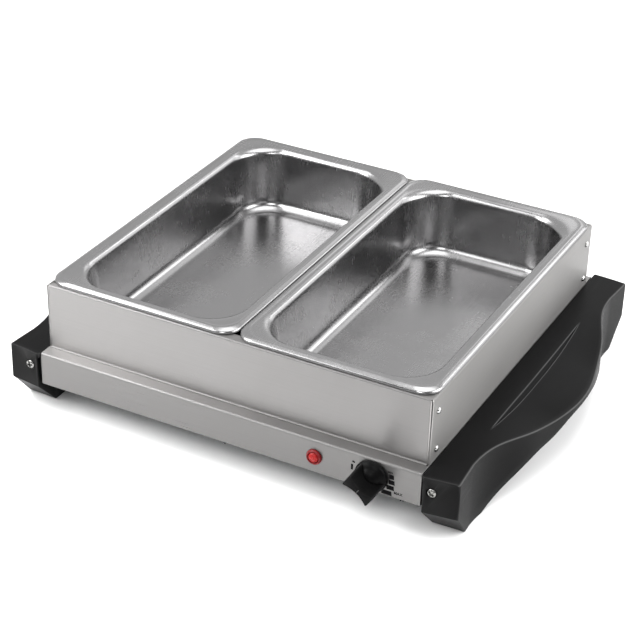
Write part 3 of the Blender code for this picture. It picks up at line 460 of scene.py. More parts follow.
def cut(bm, cutter_bm, operation="DIFFERENCE"):
    """bm minus cutter, as a new bmesh."""
    obs = []
    for k, q in enumerate((bm, cutter_bm)):
        bmesh.ops.recalc_face_normals(q, faces=q.faces)
        me = bpy.data.meshes.new("scratch")
        q.to_mesh(me)
        q.free()
        ob = bpy.data.objects.new("scratch", me)
        bpy.context.scene.collection.objects.link(ob)
        obs.append(ob)
    md = obs[0].modifiers.new("cut", "BOOLEAN")
    md.operation = operation
    md.solver = "EXACT"
    md.object = obs[1]
    dg = bpy.context.evaluated_depsgraph_get()
    out = bmesh.new()
    ev = obs[0].evaluated_get(dg)
    out.from_mesh(ev.to_mesh())
    for ob in obs:
        me = ob.data
        bpy.data.objects.remove(ob, do_unlink=True)
        bpy.data.meshes.remove(me)
    return out


def rod(bm, r, a, b, steps=32):
    a, b = Vector(a), Vector(b)
    turned_mesh(bm, [(0.0, 0.0), (r, 0.0), (r, (b - a).length), (0.0, (b - a).length)], steps, aimed(a, b - a))


# --------------------------------------------------------------------- base
def make_base():
    bm = bmesh.new()
    path = bent([(-BASE_Y + 0.0090, BASE_Z0), (-BASE_Y, BASE_Z0), (-BASE_Y, DECK_Z), (BASE_Y, DECK_Z), (BASE_Y, BASE_Z0),
                 (BASE_Y - 0.0090, BASE_Z0)], (0.0013, 0.0022, 0.0022, 0.0013), 7)
    loop = sheet_loop(path, SHEET, -1)
    stops = (-BASE_X, -BASE_X + 0.0003, BASE_X - 0.0003, BASE_X)
    mid = Vector((0.0, 0.5 * (BASE_Z0 + DECK_Z)))
    rings = []
    for k, x in enumerate(stops):
        soft = 0.00015 if k in (0, 3) else 0.0
        rings.append([(x, y - math.copysign(soft, y) * (i < len(path)), z - math.copysign(soft, z - mid.y) * (i < len(path)))
                      for i, (y, z) in enumerate(loop)])
    tube(bm, rings)
    # side walls with their own bottom flange, set in the ends of the fold
    for s in (-1, 1):
        side = bent([(BASE_X - 0.0090, BASE_Z0), (BASE_X, BASE_Z0), (BASE_X, DECK_Z - SHEET - 0.0001)], (0.0013,), 6)
        lp = sheet_loop(side, SHEET, 1)
        ys = (-BASE_Y + SHEET + 0.0001, BASE_Y - SHEET - 0.0001)
        tube(bm, [[(s * x, y, z) for x, z in lp] for y in ys])
    ob = piece("base_body", bm, MATS["base"], "base", ("base_shell",), 25,
               second=(MATS["fold"], lambda c, n: abs(n.y) > 0.25 and abs(n.z) > 0.25 and c.z > DECK_Z - 0.004))
    # the up-facing deck faces take the lighter deck copy: painted light on the top
    ob.data.materials.append(MATS["deck"])
    for f in ob.data.polygons:
        if f.normal.z > 0.97 and f.center.z > DECK_Z - 0.0010:
            f.material_index = 2
    return ob


# -------------------------------------------------------------------- frame
def make_frame():
    xw = BASE_X - SHEET - 0.00008
    r = FRAME_BEND
    for s, tag in ((-1, "front"), (1, "back")):
        bm = bmesh.new()
        # wall with its top flange and a small outward foot
        path = bent([(FRAME_Y + 0.0009, FRAME_Z0), (FRAME_Y, FRAME_Z0 + 0.0011), (FRAME_Y, FRAME_Z1), (FRAME_Y - FRAME_FLANGE, FRAME_Z1)],
                    (0.0009, r), 7)
        loop = sheet_loop(path, SHEET, 1)
        rc = 0.0011
        xe = xw - rc
        rings = []
        for x in (-1, 1):
            ring = []
            for y, z in loop:
                depth = max(FRAME_Y - y - 0.0012, 0.0) if z > FRAME_Z1 - 0.0022 else 0.0
                ring.append((x * (xe + (0.0016 if depth > 0 else 0.0) - depth * 1.00), s * y, z))
            rings.append(ring)
        tube(bm, rings)
        # end bends and the ears behind the side panels
        for x in (-1, 1):
            ear = bent([(xe - 0.0002, FRAME_Y), (xw, FRAME_Y), (xw, FRAME_Y - FRAME_EAR)], (rc,), 9)
            lp = sheet_loop(ear, SHEET, -1)
            tube(bm, [[(x * a, s * b, z) for a, b in lp] for z in (FRAME_Z0 + 0.0006, FRAME_Z1 - 0.0008)])
        # the foot and top bends take the darker fold copy: painted shade over their highlights
        ob = piece("frame_panel_" + tag, bm, MATS["front"], "pan_frame", ("frame_" + tag,), 25,
                   second=(MATS["fold"], lambda c, n: abs(n.y) > 0.25 and abs(n.z) > 0.25))
        # the vertical end bends take the lighter edge copy: painted highlight
        ob.data.materials.append(MATS["edge"])
        for f in ob.data.polygons:
            if min(abs(f.normal.x), abs(f.normal.y)) > 0.10 and abs(f.normal.z) < 0.2:
                f.material_index = 2
    for s, tag in ((-1, "left"), (1, "right")):
        bm = bmesh.new()
        path = bent([(BASE_X, FRAME_Z0), (BASE_X, FRAME_Z1), (BASE_X - FRAME_FLANGE, FRAME_Z1)], (r,), 7)
        loop = sheet_loop(path, SHEET, 1)
        rings = []
        steps = ((0.0, 0.0007), (0.0002, 0.0004), (0.0006, 0.00018), (0.0012, 0.00004), (0.0020, 0.0))
        for e, order in ((-1, steps), (1, steps[::-1])):
            for off, ins in order:
                ring = []
                for i, (x, z) in enumerate(loop):
                    top = z > FRAME_Z1 - 0.0022
                    depth = max(BASE_X - x - 0.0004, 0.0) if top else 0.0
                    outer = i < len(path)
                    ring.append((s * (x - (ins if outer and not top else 0.0)), e * (FRAME_Y - 0.0004 - (0.0005 if depth > 0 else 0.0) - off - depth),
                                 z - (ins * 0.4 if outer and top else 0.0)))
                rings.append(ring)
        tube(bm, rings)
        # the side panel's front and back margins take the lighter edge copy: painted highlight
        piece("frame_panel_" + tag, bm, MATS["side"], "pan_frame", ("frame_" + tag,), 25,
              second=(MATS["edge"], lambda c, n: abs(c.y) > FRAME_Y - 0.0020))
    for sx, tx in ((-1, "left"), (1, "right")):
        for sy, ty in ((-1, "front"), (1, "back")):
            for z, tz in zip(RIVET_Z, ("lower", "upper")):
                bm = bmesh.new()
                a, b = 0.00015, -(2 * SHEET + 2 * GAP)
                turned_mesh(bm, [(0.0, a + 0.0015), (0.0005, a + 0.00152), (0.0008, a + 0.00158), (0.0011, a + 0.00156),
                                 (0.0015, a + 0.00146), (0.0019, a + 0.00126), (0.0023, a + 0.00094), (0.0026, a + 0.00055),
                                 (0.0028, a + 0.0001), (0.0027, a - 0.0001), (0.0015, a - 0.0001), (0.0015, b), (0.0021, b),
                                 (0.0023, b - 0.0006), (0.0016, b - 0.0012), (0.0, b - 0.0014)], 32,
                            aimed((sx * BASE_X, sy * RIVET_Y, z), (sx, 0, 0)))
                name = "rivet_%s_%s_%s" % (tx, ty, tz)
                piece("domed_" + name, bm, MATS["rivet"], "pan_frame", (name,), 40)


# --------------------------------------------------------------------- pans
def make_pan(tag, side):
    upper = [(0.0005, 0.1186, .0145), (0.0001, 0.11875, .0149), (0.0000, 0.1189, .0150), (0.0001, 0.1192, .0149), (0.00035, 0.11945, .0147),
             (0.00035, 0.1196, .0147), (0.0001, 0.1198, .0149), (0.0001, 0.1200, .0149), (0.0003, 0.1204, .0150), (0.0006, 0.1209, .0150),
             (0.0010, 0.12128, .0150), (0.0018, 0.12172, .0150), (0.0026, 0.12216, .0151), (0.0034, 0.12254, .0153), (0.0040, 0.12268, .0155),
             (0.0045, 0.1227, .0158), (0.0051, 0.12256, .0162), (0.0057, 0.12234, .0168), (0.0064, 0.12216, .0185), (0.0078, 0.12205, .0240),
             (0.0091, 0.12190, .0290), (0.0101, 0.12150, .0322), (0.0109, 0.12090, .0342), (0.0116, 0.12000, .0358), (0.0122, 0.11880, .0370),
             (0.0127, 0.11760, .0378), (0.0131, 0.11600, .0380), (0.0140, 0.1080, .0378), (0.0157, 0.0900, .0370), (0.0172, 0.0740, .0362)]
    fr = 0.0108
    cx, cz = 0.0172 + fr, 0.0615 + fr
    for k in range(1, 9):
        a = math.radians(180 + 90 * k / 9)
        upper.append((cx + fr * math.cos(a), cz + fr * math.sin(a), 0.0362 - 0.0100 * k / 9))
    upper += [(cx, 0.0615, 0.0262)]
    lower = [(0.0011, 0.1186, .0139), (0.0013, 0.1198, .0138), (0.0016, 0.1206, .0137), (0.0030, 0.1214, .0140),
             (0.0045, 0.1217, .0150), (0.0075, 0.1212, .0232), (0.0098, 0.1203, .0315), (0.0112, 0.1190, .0350),
             (0.0120, 0.1172, .0372), (0.0132, 0.1080, .0384), (0.0149, 0.0900, .0376), (0.0164, 0.0738, .0368)]
    fr2 = fr + 0.0008
    for k in range(1, 9):
        a = math.radians(180 + 90 * k / 9)
        lower.append((cx + fr2 * math.cos(a), cz + fr2 * math.sin(a), 0.0368 - 0.0100 * k / 9))
    lower += [(cx, 0.0607, 0.0262)]
    bm = bmesh.new()
    rings = []
    for inset, z, r in lower[::-1] + upper:
        w = 1.0 - smooth01((inset - 0.0045) / 0.0050)
        x0, x1 = PAN_X0 + inset, PAN_X1 - inset + PAN_OUT[side] * w
        y0, y1 = -PAN_Y + inset, PAN_Y - inset + PAN_BACK * w
        pts = rounded(x0, x1, y0, y1, r + 0.0022 * w, 14)
        rings.append([(side * x, y, z) for x, y in pts])
    tube(bm, rings)
    rc = 0.0172
    xc, hx = (PAN_X0 + PAN_X1 + PAN_OUT[side]) / 2, (PAN_X1 + PAN_OUT[side] - PAN_X0) / 2 - rc
    yc, hy = PAN_BACK / 2, PAN_Y + PAN_BACK / 2 - rc

    def folded_edge(c, n):
        dx, dy = abs(abs(c.x) - xc) - hx, abs(c.y - yc) - hy
        out = math.hypot(dx, dy) if min(dx, dy) > 0 else max(dx, dy)
        return c.z < 0.1201 and rc - out < 0.0007

    # the folded hem takes the darker hem copy: painted shade over its highlight
    ob = piece("drawn_pan_" + tag, bm, MATS["pan"], tag + "_pan", ("pan_" + tag,), 50,
               second=(MATS["hem"], folded_edge))
    md = ob.modifiers.new("even_shading", "WEIGHTED_NORMAL")
    md.keep_sharp = True
    return ob


# ------------------------------------------------------------------ handles
def smooth01(t):
    t = min(max(t, 0.0), 1.0)
    return t * t * (3 - 2 * t)


def reach(y):
    a = abs(y)
    body = 0.0298 + 0.0024 * (a - 0.150) / 0.035 if a > 0.150 else 0.0298
    bulge = 0.0350 * (0.5 + 0.5 * math.cos(math.pi * min(a / 0.1480, 1.0)))
    return body + bulge + 0.0042 * math.exp(-((a - 0.085) / 0.030) ** 2)


def edge_top(y):
    return HANDLE_TOP - 0.0090 * smooth01((0.122 - abs(y)) / 0.085)


def edge_low_raw(y):
    a = abs(y)
    if a >= HANDLE_FOOT1:
        return 0.0255 * (a - HANDLE_FOOT1) / (HANDLE_END - HANDLE_FOOT1)
    if a >= HANDLE_FOOT0:
        return 0.0
    t = (HANDLE_FOOT0 - a) / HANDLE_FOOT0
    return 0.0445 * (1.0 - (1.0 - t) ** 2.0) ** 1.1 - 0.0036 * math.exp(-((a - 0.047) / 0.018) ** 2)


def edge_low(y):
    a, d = abs(y), 0.0012
    return max((edge_low_raw(a - d) + 2 * edge_low_raw(a) + edge_low_raw(min(a + d, HANDLE_END))) / 4, 0.0)


def leaf_lines(y):
    """The leaf's inner and outer line, closer together towards the back."""
    leaf = max(1.0 - (y / LEAF_HALF) ** 2, 0.0)
    b = smooth01((y + 0.085) / 0.080)
    return leaf, 0.0208 + (0.0007 * b - 0.0003) * leaf, 0.0211 + (0.0063 - 0.0012 * b) * leaf


def top_face(u, y):
    rc = reach(y)
    drop = HANDLE_TOP - edge_top(y)
    t = min(max((u - 0.018) / max(rc - 0.018, 1e-4), 0.0), 1.0)
    crown = 0.0004 * ((u - 0.012) / 0.018) ** 2 * (1.0 - t)
    z = HANDLE_TOP - crown - drop * (0.25 * t * t + 0.75 * t) - 0.0003 * t * t
    leaf, lo, hi = leaf_lines(y)
    if leaf > 0.0:
        w = min(u - lo, hi - u)
        if w > 0.0:
            z -= 0.0012 * smooth01(w / 0.0009) * min(1.0, leaf * 6)
    return z


def handle_loop(y):
    end = HANDLE_END - abs(y)
    soft = 0.0014
    pull = soft - math.sqrt(max(soft * soft - (soft - min(end, soft)) ** 2, 0.0))
    u0, u1 = HANDLE_U0 + pull * 0.6, reach(y) - pull * 1.1
    dz = pull * 0.55
    low = edge_low(y) + pull * 0.4
    inner_low = min(low, BASE_Z0) if abs(y) < HANDLE_FOOT0 else low
    r = 0.0016
    ut = u0 - 0.0016 * smooth01((end - 0.0004) / 0.0012)
    ri = 0.0008
    pts = [(u0 + 0.0005, inner_low), (u0, inner_low + 0.0005), (u0, HANDLE_TOP - dz - 0.0052), (ut, HANDLE_TOP - dz - 0.0036), (ut, HANDLE_TOP - dz - ri)]
    for k in (1, 2, 3):
        a = math.pi / 2 * k / 4
        pts.append((ut + ri * (1 - math.cos(a)), HANDLE_TOP - dz - ri * (1 - math.sin(a))))
    leaf, lo, hi = leaf_lines(y)
    us = [ut + ri, 0.0060, 0.0110, 0.0160, lo - 0.0012, lo - 0.0005]
    w = hi - lo
    e = min(0.0009, w * 0.4)
    us += [lo + 0.00001, lo + e * 0.33, lo + e * 0.66, lo + e]
    us += [lo + e + (w - 2 * e) * k / 4 for k in (1, 2, 3)]
    us += [hi - e, hi - e * 0.66, hi - e * 0.33, hi - 0.00001, hi + 0.0005, hi + 0.0012]
    last = u1 - r
    for k in range(1, 11):
        us.append(hi + 0.0012 + (last - hi - 0.0012) * k / 10)
    for u in us:
        pts.append((u, top_face(min(u, reach(y)), y) - dz))
    zc = edge_top(y) - dz
    zl = pts[-1][1]
    for k in (1, 2, 3, 4, 5):
        a = math.pi / 2 * k / 5
        pts.append((last + r * math.sin(a), zl - (zl - zc + r * 1.05) * (1 - math.cos(a))))
    top = pts[-1][1]
    for k in (1, 2, 3):
        pts.append((u1, top + (low + 0.0010 - top) * k / 3))
    pts += [(u1 - 0.0003, low + 0.0003), (u1 - 0.0010, low)]
    return pts


def stretch(y, u=0.0146):
    w = smooth01((abs(y) - LEAN_FROM) / (HANDLE_END - LEAN_FROM))
    if y > 0:
        return y * HANDLE_BACK / HANDLE_END - w * LEAN_BACK * (u - 0.0146)
    return y + w * LEAN_FRONT * (u - HANDLE_U0)


def painted_highlight_line(u, y, z):
    """How strongly a painted highlight lies on a point of the grip: along the crease, round the leaf and at the end
    edges.
    """
    place = y
    for _ in range(6):
        y += place - stretch(y, u)
    end = HANDLE_END - abs(y)
    if end < 0.00004:
        return 0.0
    soft = 0.0014
    pull = soft - math.sqrt(max(soft * soft - (soft - min(max(end, 0.0), soft)) ** 2, 0.0))
    dz, r = pull * 0.55, 0.0016
    last = reach(y) - pull * 1.1 - r
    zl = top_face(min(last, reach(y)), y) - dz
    zc = edge_top(y) - dz
    a = math.radians(38)
    cu, cz = last + r * math.sin(a), zl - (zl - zc + r * 1.05) * (1 - math.cos(a))
    crease = math.exp(-(((u - cu) ** 2 + (z - cz) ** 2) / 0.0007 ** 2))
    leaf, lo, hi = leaf_lines(y)
    rim = 0.0
    if leaf > 0.0 and z > HANDLE_TOP - 0.012:
        rim = max(0.8 * math.exp(-((u - lo) / 0.00030) ** 2), math.exp(-((u - hi) / 0.00030) ** 2)) * min(1.0, leaf * 5)
        if z < top_face(lo - 0.0004, y) - 0.0009 and lo + 0.0004 < u < hi - 0.0004:
            rim = 0.0
    edge = 0.0
    if end < soft and z > HANDLE_TOP - 0.0030:
        edge = 0.22 * math.exp(-((end - 0.0006) / 0.0006) ** 2)
    return min(max(crease * 0.8, rim, edge), 1.0)


def make_handles():
    fine = [0.0, 0.00008, 0.0002, 0.0004, 0.0006, 0.0009, 0.0012, 0.0014]
    ys = [HANDLE_END - e for e in fine]
    a = HANDLE_END - 0.0014
    while a > 0.0030:
        a -= 0.0030 if abs(a - HANDLE_FOOT1) > 0.004 and abs(a - HANDLE_FOOT0) > 0.004 else 0.0008
        ys.append(max(a, 0.0))
    if ys[-1] > 1e-6:
        ys.append(0.0)
    ys = [-y for y in ys] + [y for y in ys[::-1] if y > 0]
    for side, tag in ((-1, "left"), (1, "right")):
        bm = bmesh.new()
        tube(bm, [[(side * (BASE_X + u), stretch(y, u), z) for u, z in handle_loop(y)] for y in ys])
        space = bmesh.new()
        cells = []
        for k in range(49):
            y = -GRIP_HALF + 2 * GRIP_HALF * k / 48
            last = reach(y) - HANDLE_WALL
            u_in = HANDLE_WALL + HANDLE_U0
            us = [u_in + (last - u_in) * j / 12 for j in range(13)]
            lid = [(u, top_face(u, y) - HANDLE_WALL - 0.0004 - (0.0010 if 0.014 < u < 0.027 else 0.0)) for u in us]
            loop = [(us[0], -0.004)] + lid + [(us[-1], -0.004)]
            cells.append([(side * (BASE_X + u), stretch(y), z) for u, z in loop])
        tube(space, cells)
        bm = cut(bm, space)
        # sunk seats round the screws
        seats = bmesh.new()
        for s, end in ((-1, FITTING_FRONT), (1, HANDLE_BACK)):
            x = side * (BASE_X + SCREW_U)
            rod(seats, 0.0046, (x, s * (end - 0.0010), SCREW_Z), (x, s * (end + 0.004), SCREW_Z), 48)
        bm = cut(bm, seats)
        ob = piece("grip_" + tag, bm, MATS["handle"], "base", ("handle_" + tag,), 38)
        # painted highlight lines along the crease, round the leaf and at the end edges, kept as a point attribute
        painted_highlight = ob.data.attributes.new("painted_highlight", "FLOAT", "POINT")
        for v in ob.data.vertices:
            painted_highlight.data[v.index].value = painted_highlight_line(abs(v.co.x) - BASE_X, v.co.y - SHIFT, v.co.z)
        md = ob.modifiers.new("even_shading", "WEIGHTED_NORMAL")
        md.keep_sharp = True
    # screws: pan heads with a cross recess
    for side, tag in ((-1, "left"), (1, "right")):
        for s, end, ty in ((-1, FITTING_FRONT, "front"), (1, HANDLE_BACK, "back")):
            x = side * (BASE_X + SCREW_U)
            m = aimed((x, s * (end - 0.0010 + GAP), SCREW_Z), (0, s, 0)) @ Matrix.Rotation(0.55 + 0.4 * side, 4, "Z")
            bm = bmesh.new()
            pan_head(bm, m, 0.0038, 0.0021, 0.0095, 0.0018)
            name = "handle_screw_%s_%s" % (ty, tag)
            piece("cross_" + name, cross_cut(bm, m, 0.0021, 0.00095, 0.0026), MATS["bright"], "base", (name,), 30)


def pan_head(bm, m, r, h, shank, sr):
    prof = [(0.0, h)]
    for k in range(1, 9):
        a = math.pi / 2 * k / 9
        prof.append((r * math.sin(a) ** 0.85, h * (0.30 + 0.70 * math.cos(a))))
    prof += [(r, h * 0.26), (r, 0.0002), (r - 0.0002, 0.0), (sr, 0.0), (sr, -shank), (sr * 0.6, -shank - 0.0008), (0.0, -shank - 0.0008)]
    turned_mesh(bm, prof, 40, m)


def cross_cut(bm, m, h, a, b):
    c = bmesh.new()
    rings = []
    for z, f in ((h + 0.0010, 1.25), (h - 0.0006, 1.0), (h - 0.0022, 0.60)):
        pts = [(b, a), (a, a), (a, b), (-a, b), (-a, a), (-b, a), (-b, -a), (-a, -a), (-a, -b), (a, -b), (a, -a), (b, -a)]
        rings.append([m @ Vector((x * (f if abs(x) > a else (0.6 + 0.4 * f)), y * (f if abs(y) > a else (0.6 + 0.4 * f)), z)) for x, y in pts])
    tube(c, rings)
    return cut(bm, c)


def make_cover_screws():
    y = BASE_Y - 0.0090 * 0.55
    places = [(x, s * y) for s in (-1, 1) for x in (-0.160, 0.0, 0.160)]
    for k, (px, py) in enumerate(places, 1):
        bm = bmesh.new()
        m = aimed((px, py, BASE_Z0 - GAP - 0.0010 - GAP), (0, 0, -1)) @ Matrix.Rotation(0.7 * k, 4, "Z")
        pan_head(bm, m, 0.0024, 0.0005, 0.0058, 0.0015)
        piece("cross_cover_screw_%d" % k, cross_cut(bm, m, 0.0005, 0.00035, 0.0016), MATS["blackened"], "base",
              ("cover_screw_%d" % k,), 30)


# ----------------------------------------------------------- knob, lamp, dial
def make_knob():
    bm = bmesh.new()
    m = aimed((KNOB_X, KNOB_BACK_Y, KNOB_Z), (0, -1, 0))
    prof = [(0.0, 0.0113), (0.0015, 0.01126), (0.0030, 0.0110), (0.0046, 0.0105), (0.0060, 0.0098), (0.0072, 0.0090), (0.0082, 0.0081),
            (0.0089, 0.0073), (0.0094, 0.0067), (0.00975, 0.0063), (0.0102, 0.00595), (0.0109, 0.0055), (0.0117, 0.0049), (0.0125, 0.0042),
            (0.0132, 0.0035), (0.0136, 0.0030), (0.01385, 0.0025), (0.0140, 0.0020), (0.0140, 0.0004), (0.01385, 0.0001), (0.0136, 0.0),
            (0.0122, 0.0), (0.0120, 0.0003), (0.0118, 0.0032), (0.0, 0.0032)]
    turned_mesh(bm, prof, 96, m)
    # finger bar: thin in the middle, flared at both ends
    half, mid, end = 0.0127, 0.0027, 0.0056
    frame_m = (Matrix.Translation((KNOB_X, 0, KNOB_Z)) @ Matrix.Rotation(KNOB_TILT, 4, "Y") @ Matrix.Rotation(math.pi / 2, 4, "X"))

    def bar(inset):
        n, pts = 20, []
        for i in range(n + 1):
            s = -1 + 2 * i / n
            pts.append((s * (half - 0.0006 - inset), mid + (end - mid) * s * s - inset))
        e = half - inset
        pts += [(e, end - 0.0010 - inset), (e, -end + 0.0010 + inset)]
        pts += [(x, -y) for x, y in pts[:n + 1][::-1]]
        pts += [(-e, -end + 0.0010 + inset), (-e, end - 0.0010 - inset)]
        return pts

    length = KNOB_BACK_Y - KNOB_FRONT_Y
    rings = []
    for d, inset in ((0.0036, 0.0), (0.0060, 0.0), (length * 0.5, 0.0), (length - 0.0012, 0.0), (length - 0.0006, 0.00006),
                     (length - 0.00025, 0.00020), (length - 0.00008, 0.00036), (length, 0.00060)):
        rings.append([frame_m @ Vector((x, y, d - KNOB_BACK_Y)) for x, y in bar(inset)])
    tube(bm, rings)
    ob = piece("dial_knob", bm, MATS["knob"], "knob", ("control_knob",), 35)
    # pointer line sunk in the middle of the bar's front edge
    bm = bmesh.new()
    w, h0, h1 = 0.00028, 0.0002, 0.0024
    for d in (1,):
        pts = [(-w - 0.0000, -0.0020), (w, -0.0020), (w, 0.0020), (-w, 0.0020)]
        rings = [[frame_m @ Vector((x, y, z - KNOB_BACK_Y)) for x, y in pts] for z in (length - 0.0002, length + 0.00002)]
        tube(bm, rings)
    piece("knob_pointer", bm, MATS["pointer"], "knob")
    return ob


def make_lamp():
    yo = -BASE_Y - GAP
    m = aimed((LAMP_X, yo, LAMP_Z), (0, -1, 0))
    bm = bmesh.new()
    turned_mesh(bm, [(0.0047, 0.0012), (0.0049, 0.0018), (0.0052, 0.0022), (0.0056, 0.00238), (0.0060, 0.0023), (0.0064, 0.0019),
                     (0.0067, 0.0013), (0.0068, 0.0007), (0.0068, 0.0), (0.0057, 0.0), (0.0057, -0.0040), (0.0049, -0.0040), (0.0047, -0.0040), (0.0047, 0.0012)], 64, m)
    piece("lamp_ring", bm, MATS["bezel"], "base", ("lamp_bezel",), 40)
    bm = bmesh.new()
    prof = [(0.0, 0.0036), (0.0008, 0.00358), (0.0015, 0.0034), (0.0017, 0.0032), (0.0019, 0.0033), (0.0026, 0.00315), (0.0029, 0.0029),
            (0.0031, 0.0030), (0.0037, 0.0026), (0.0041, 0.0022), (0.0044, 0.0018), (0.0046, 0.0012), (0.0046, -0.0060), (0.0, -0.0060)]
    turned_mesh(bm, prof, 48, m)
    piece("lamp_cap", bm, MATS["lens"], "base", ("lamp_lens",), 60)


def make_gland():
    m = aimed((GLAND_X, BASE_Y, GLAND_Z), (0, 1, 0))
    bm = bmesh.new()
    steps = 72
    prof = [(0.0034, 0.0034), (0.0038, 0.0040), (0.0068, 0.0040), (0.0074, 0.0037), (0.0098, 0.0024), (0.0100, 0.0020), (0.0100, GAP),
            (0.0075, GAP), (0.0075, -SHEET - GAP), (0.0087, -SHEET - GAP), (0.0083, -0.0060), (0.0036, -0.0060), (0.0034, -0.0056), (0.0034, 0.0034)]
    grid = turned_mesh(bm, prof, steps, m)
    # grip flutes round the flange
    for ring in grid[4:7]:
        if len(ring) > 1:
            for k, v in enumerate(ring):
                if (k // 3) % 2:
                    c = m @ Vector((0, 0, 0))
                    d = Vector((v.co.x - c.x, 0, v.co.z - c.z))
                    v.co -= d.normalized() * 0.0006
    piece("fluted_gland", bm, MATS["gland"], "base", ("cord_gland",), 35)


def make_dial():
    """Printed marks beside the knob: a rising row of blocks, two small marks and MIN and MAX."""
    y = -BASE_Y
    t = 0.00005
    bm = bmesh.new()

    def quad(pts):
        tube(bm, [[(x, y + 0.00002, z) for x, z in pts], [(x, y - t, z) for x, z in pts]])

    blocks = [(0.1522, 0.0471, 0.0042, 0.0041), (0.1525, 0.0420, 0.0052, 0.0041), (0.1514, 0.0368, 0.0066, 0.0041), (0.1484, 0.0314, 0.0090, 0.0041)]
    for cx, cz, w, h in blocks:
        lean = 0.00025
        quad([(cx - w / 2 + lean, cz - h / 2), (cx + w / 2 + lean, cz - h / 2), (cx + w / 2 - lean, cz + h / 2), (cx - w / 2 - lean, cz + h / 2)])
    quad([(0.1168, 0.0425), (0.1187, 0.0425), (0.1187, 0.0477), (0.1168, 0.0477)])
    quad([(0.1176, 0.0499), (0.1200, 0.0492), (0.1205, 0.0507), (0.1181, 0.0514)])
    piece("dial_marks", bm, MATS["ink"], "base")
    for text, x, z, size in (("MAX", 0.1548, 0.0322, 0.0033), ("MIN", 0.1490, 0.0503, 0.0022)):
        cu = bpy.data.curves.new("word_" + text, "FONT")
        cu.body = text
        cu.size = size
        cu.extrude = t
        cu.offset = size * 0.035
        cu.space_character = 1.08
        ob = bpy.data.objects.new("scratch_word", cu)
        bpy.context.scene.collection.objects.link(ob)
        dg = bpy.context.evaluated_depsgraph_get()
        bm = bmesh.new()
        bm.from_mesh(ob.evaluated_get(dg).to_mesh())
        bpy.data.objects.remove(ob, do_unlink=True)
        bmesh.ops.transform(bm, matrix=Matrix.Translation((x, y, z)) @ Matrix.Rotation(math.pi / 2, 4, "X"), verts=bm.verts)
        piece("dial_word_" + text.lower(), bm, MATS["ink"], "base")


# ------------------------------------------------- finishes of the CAD nodes
def finish_nodes():
    look = {"bottom_cover": "cover", "heat_plate": "plate", "heating_element": "sheath", "terminal_block": "ceramic",
            "thermostat_body": "phenolic", "thermostat_nut": "zinc", "control_shaft": "bright", "lamp_holder": "ceramic"}
    for name, ob in NODES.items():
        key = look.get(name)
        if key is None and name.startswith("element_clamp"):
            key = "zinc"
        if key is None and name.startswith("bracket"):
            key = "blackened"
        if key is None:
            continue
        for s in ob.material_slots:
            s.material = MATS[key]
    cover = NODES["bottom_cover"]
    md = cover.modifiers.new("soft_edge", "BEVEL")
    md.width = 0.0002
    md.segments = 2
    md.limit_method = "ANGLE"
    md.angle_limit = math.radians(50)


# --------------------------------------------------------------------- camera
def camera():
    yaw, pitch, roll = math.radians(27.042), math.radians(30.333), math.radians(1.729)
    fwd = Vector((-math.sin(yaw) * math.cos(pitch), math.cos(yaw) * math.cos(pitch), -math.sin(pitch)))
    right = Vector((math.cos(yaw), math.sin(yaw), 0.0))
    up = right.cross(fwd)
    r2 = right * math.cos(roll) + up * math.sin(roll)
    u2 = -right * math.sin(roll) + up * math.cos(roll)
    cam = bpy.data.cameras.new("camera")
    cam.lens = 1893.6 / 640.0 * 36.0
    cam.sensor_width = 36.0
    cam.clip_start, cam.clip_end = 0.05, 50.0
    ob = bpy.data.objects.new("camera", cam)
    m = Matrix((r2, u2, -fwd)).transposed().to_4x4()
    m.translation = Vector((0.64914, -1.28612 + SHIFT, 0.89416))
    ob.matrix_world = m
    bpy.context.scene.collection.objects.link(ob)
    bpy.context.scene.camera = ob


# ---------------------------------------------------------------------- stage
def area(name, loc, aim, size, power, colour=(1, 1, 1), size_y=None):
    li = bpy.data.lights.new(name, "AREA")
    li.shape = "RECTANGLE"
    li.size = size
    li.size_y = size_y or size
    li.energy = power
    li.color = colour
    ob = bpy.data.objects.new(name, li)
    ob.location = loc
    ob.rotation_euler = (Vector(aim) - Vector(loc)).to_track_quat("-Z", "Y").to_euler()
    bpy.context.scene.collection.objects.link(ob)
    return ob


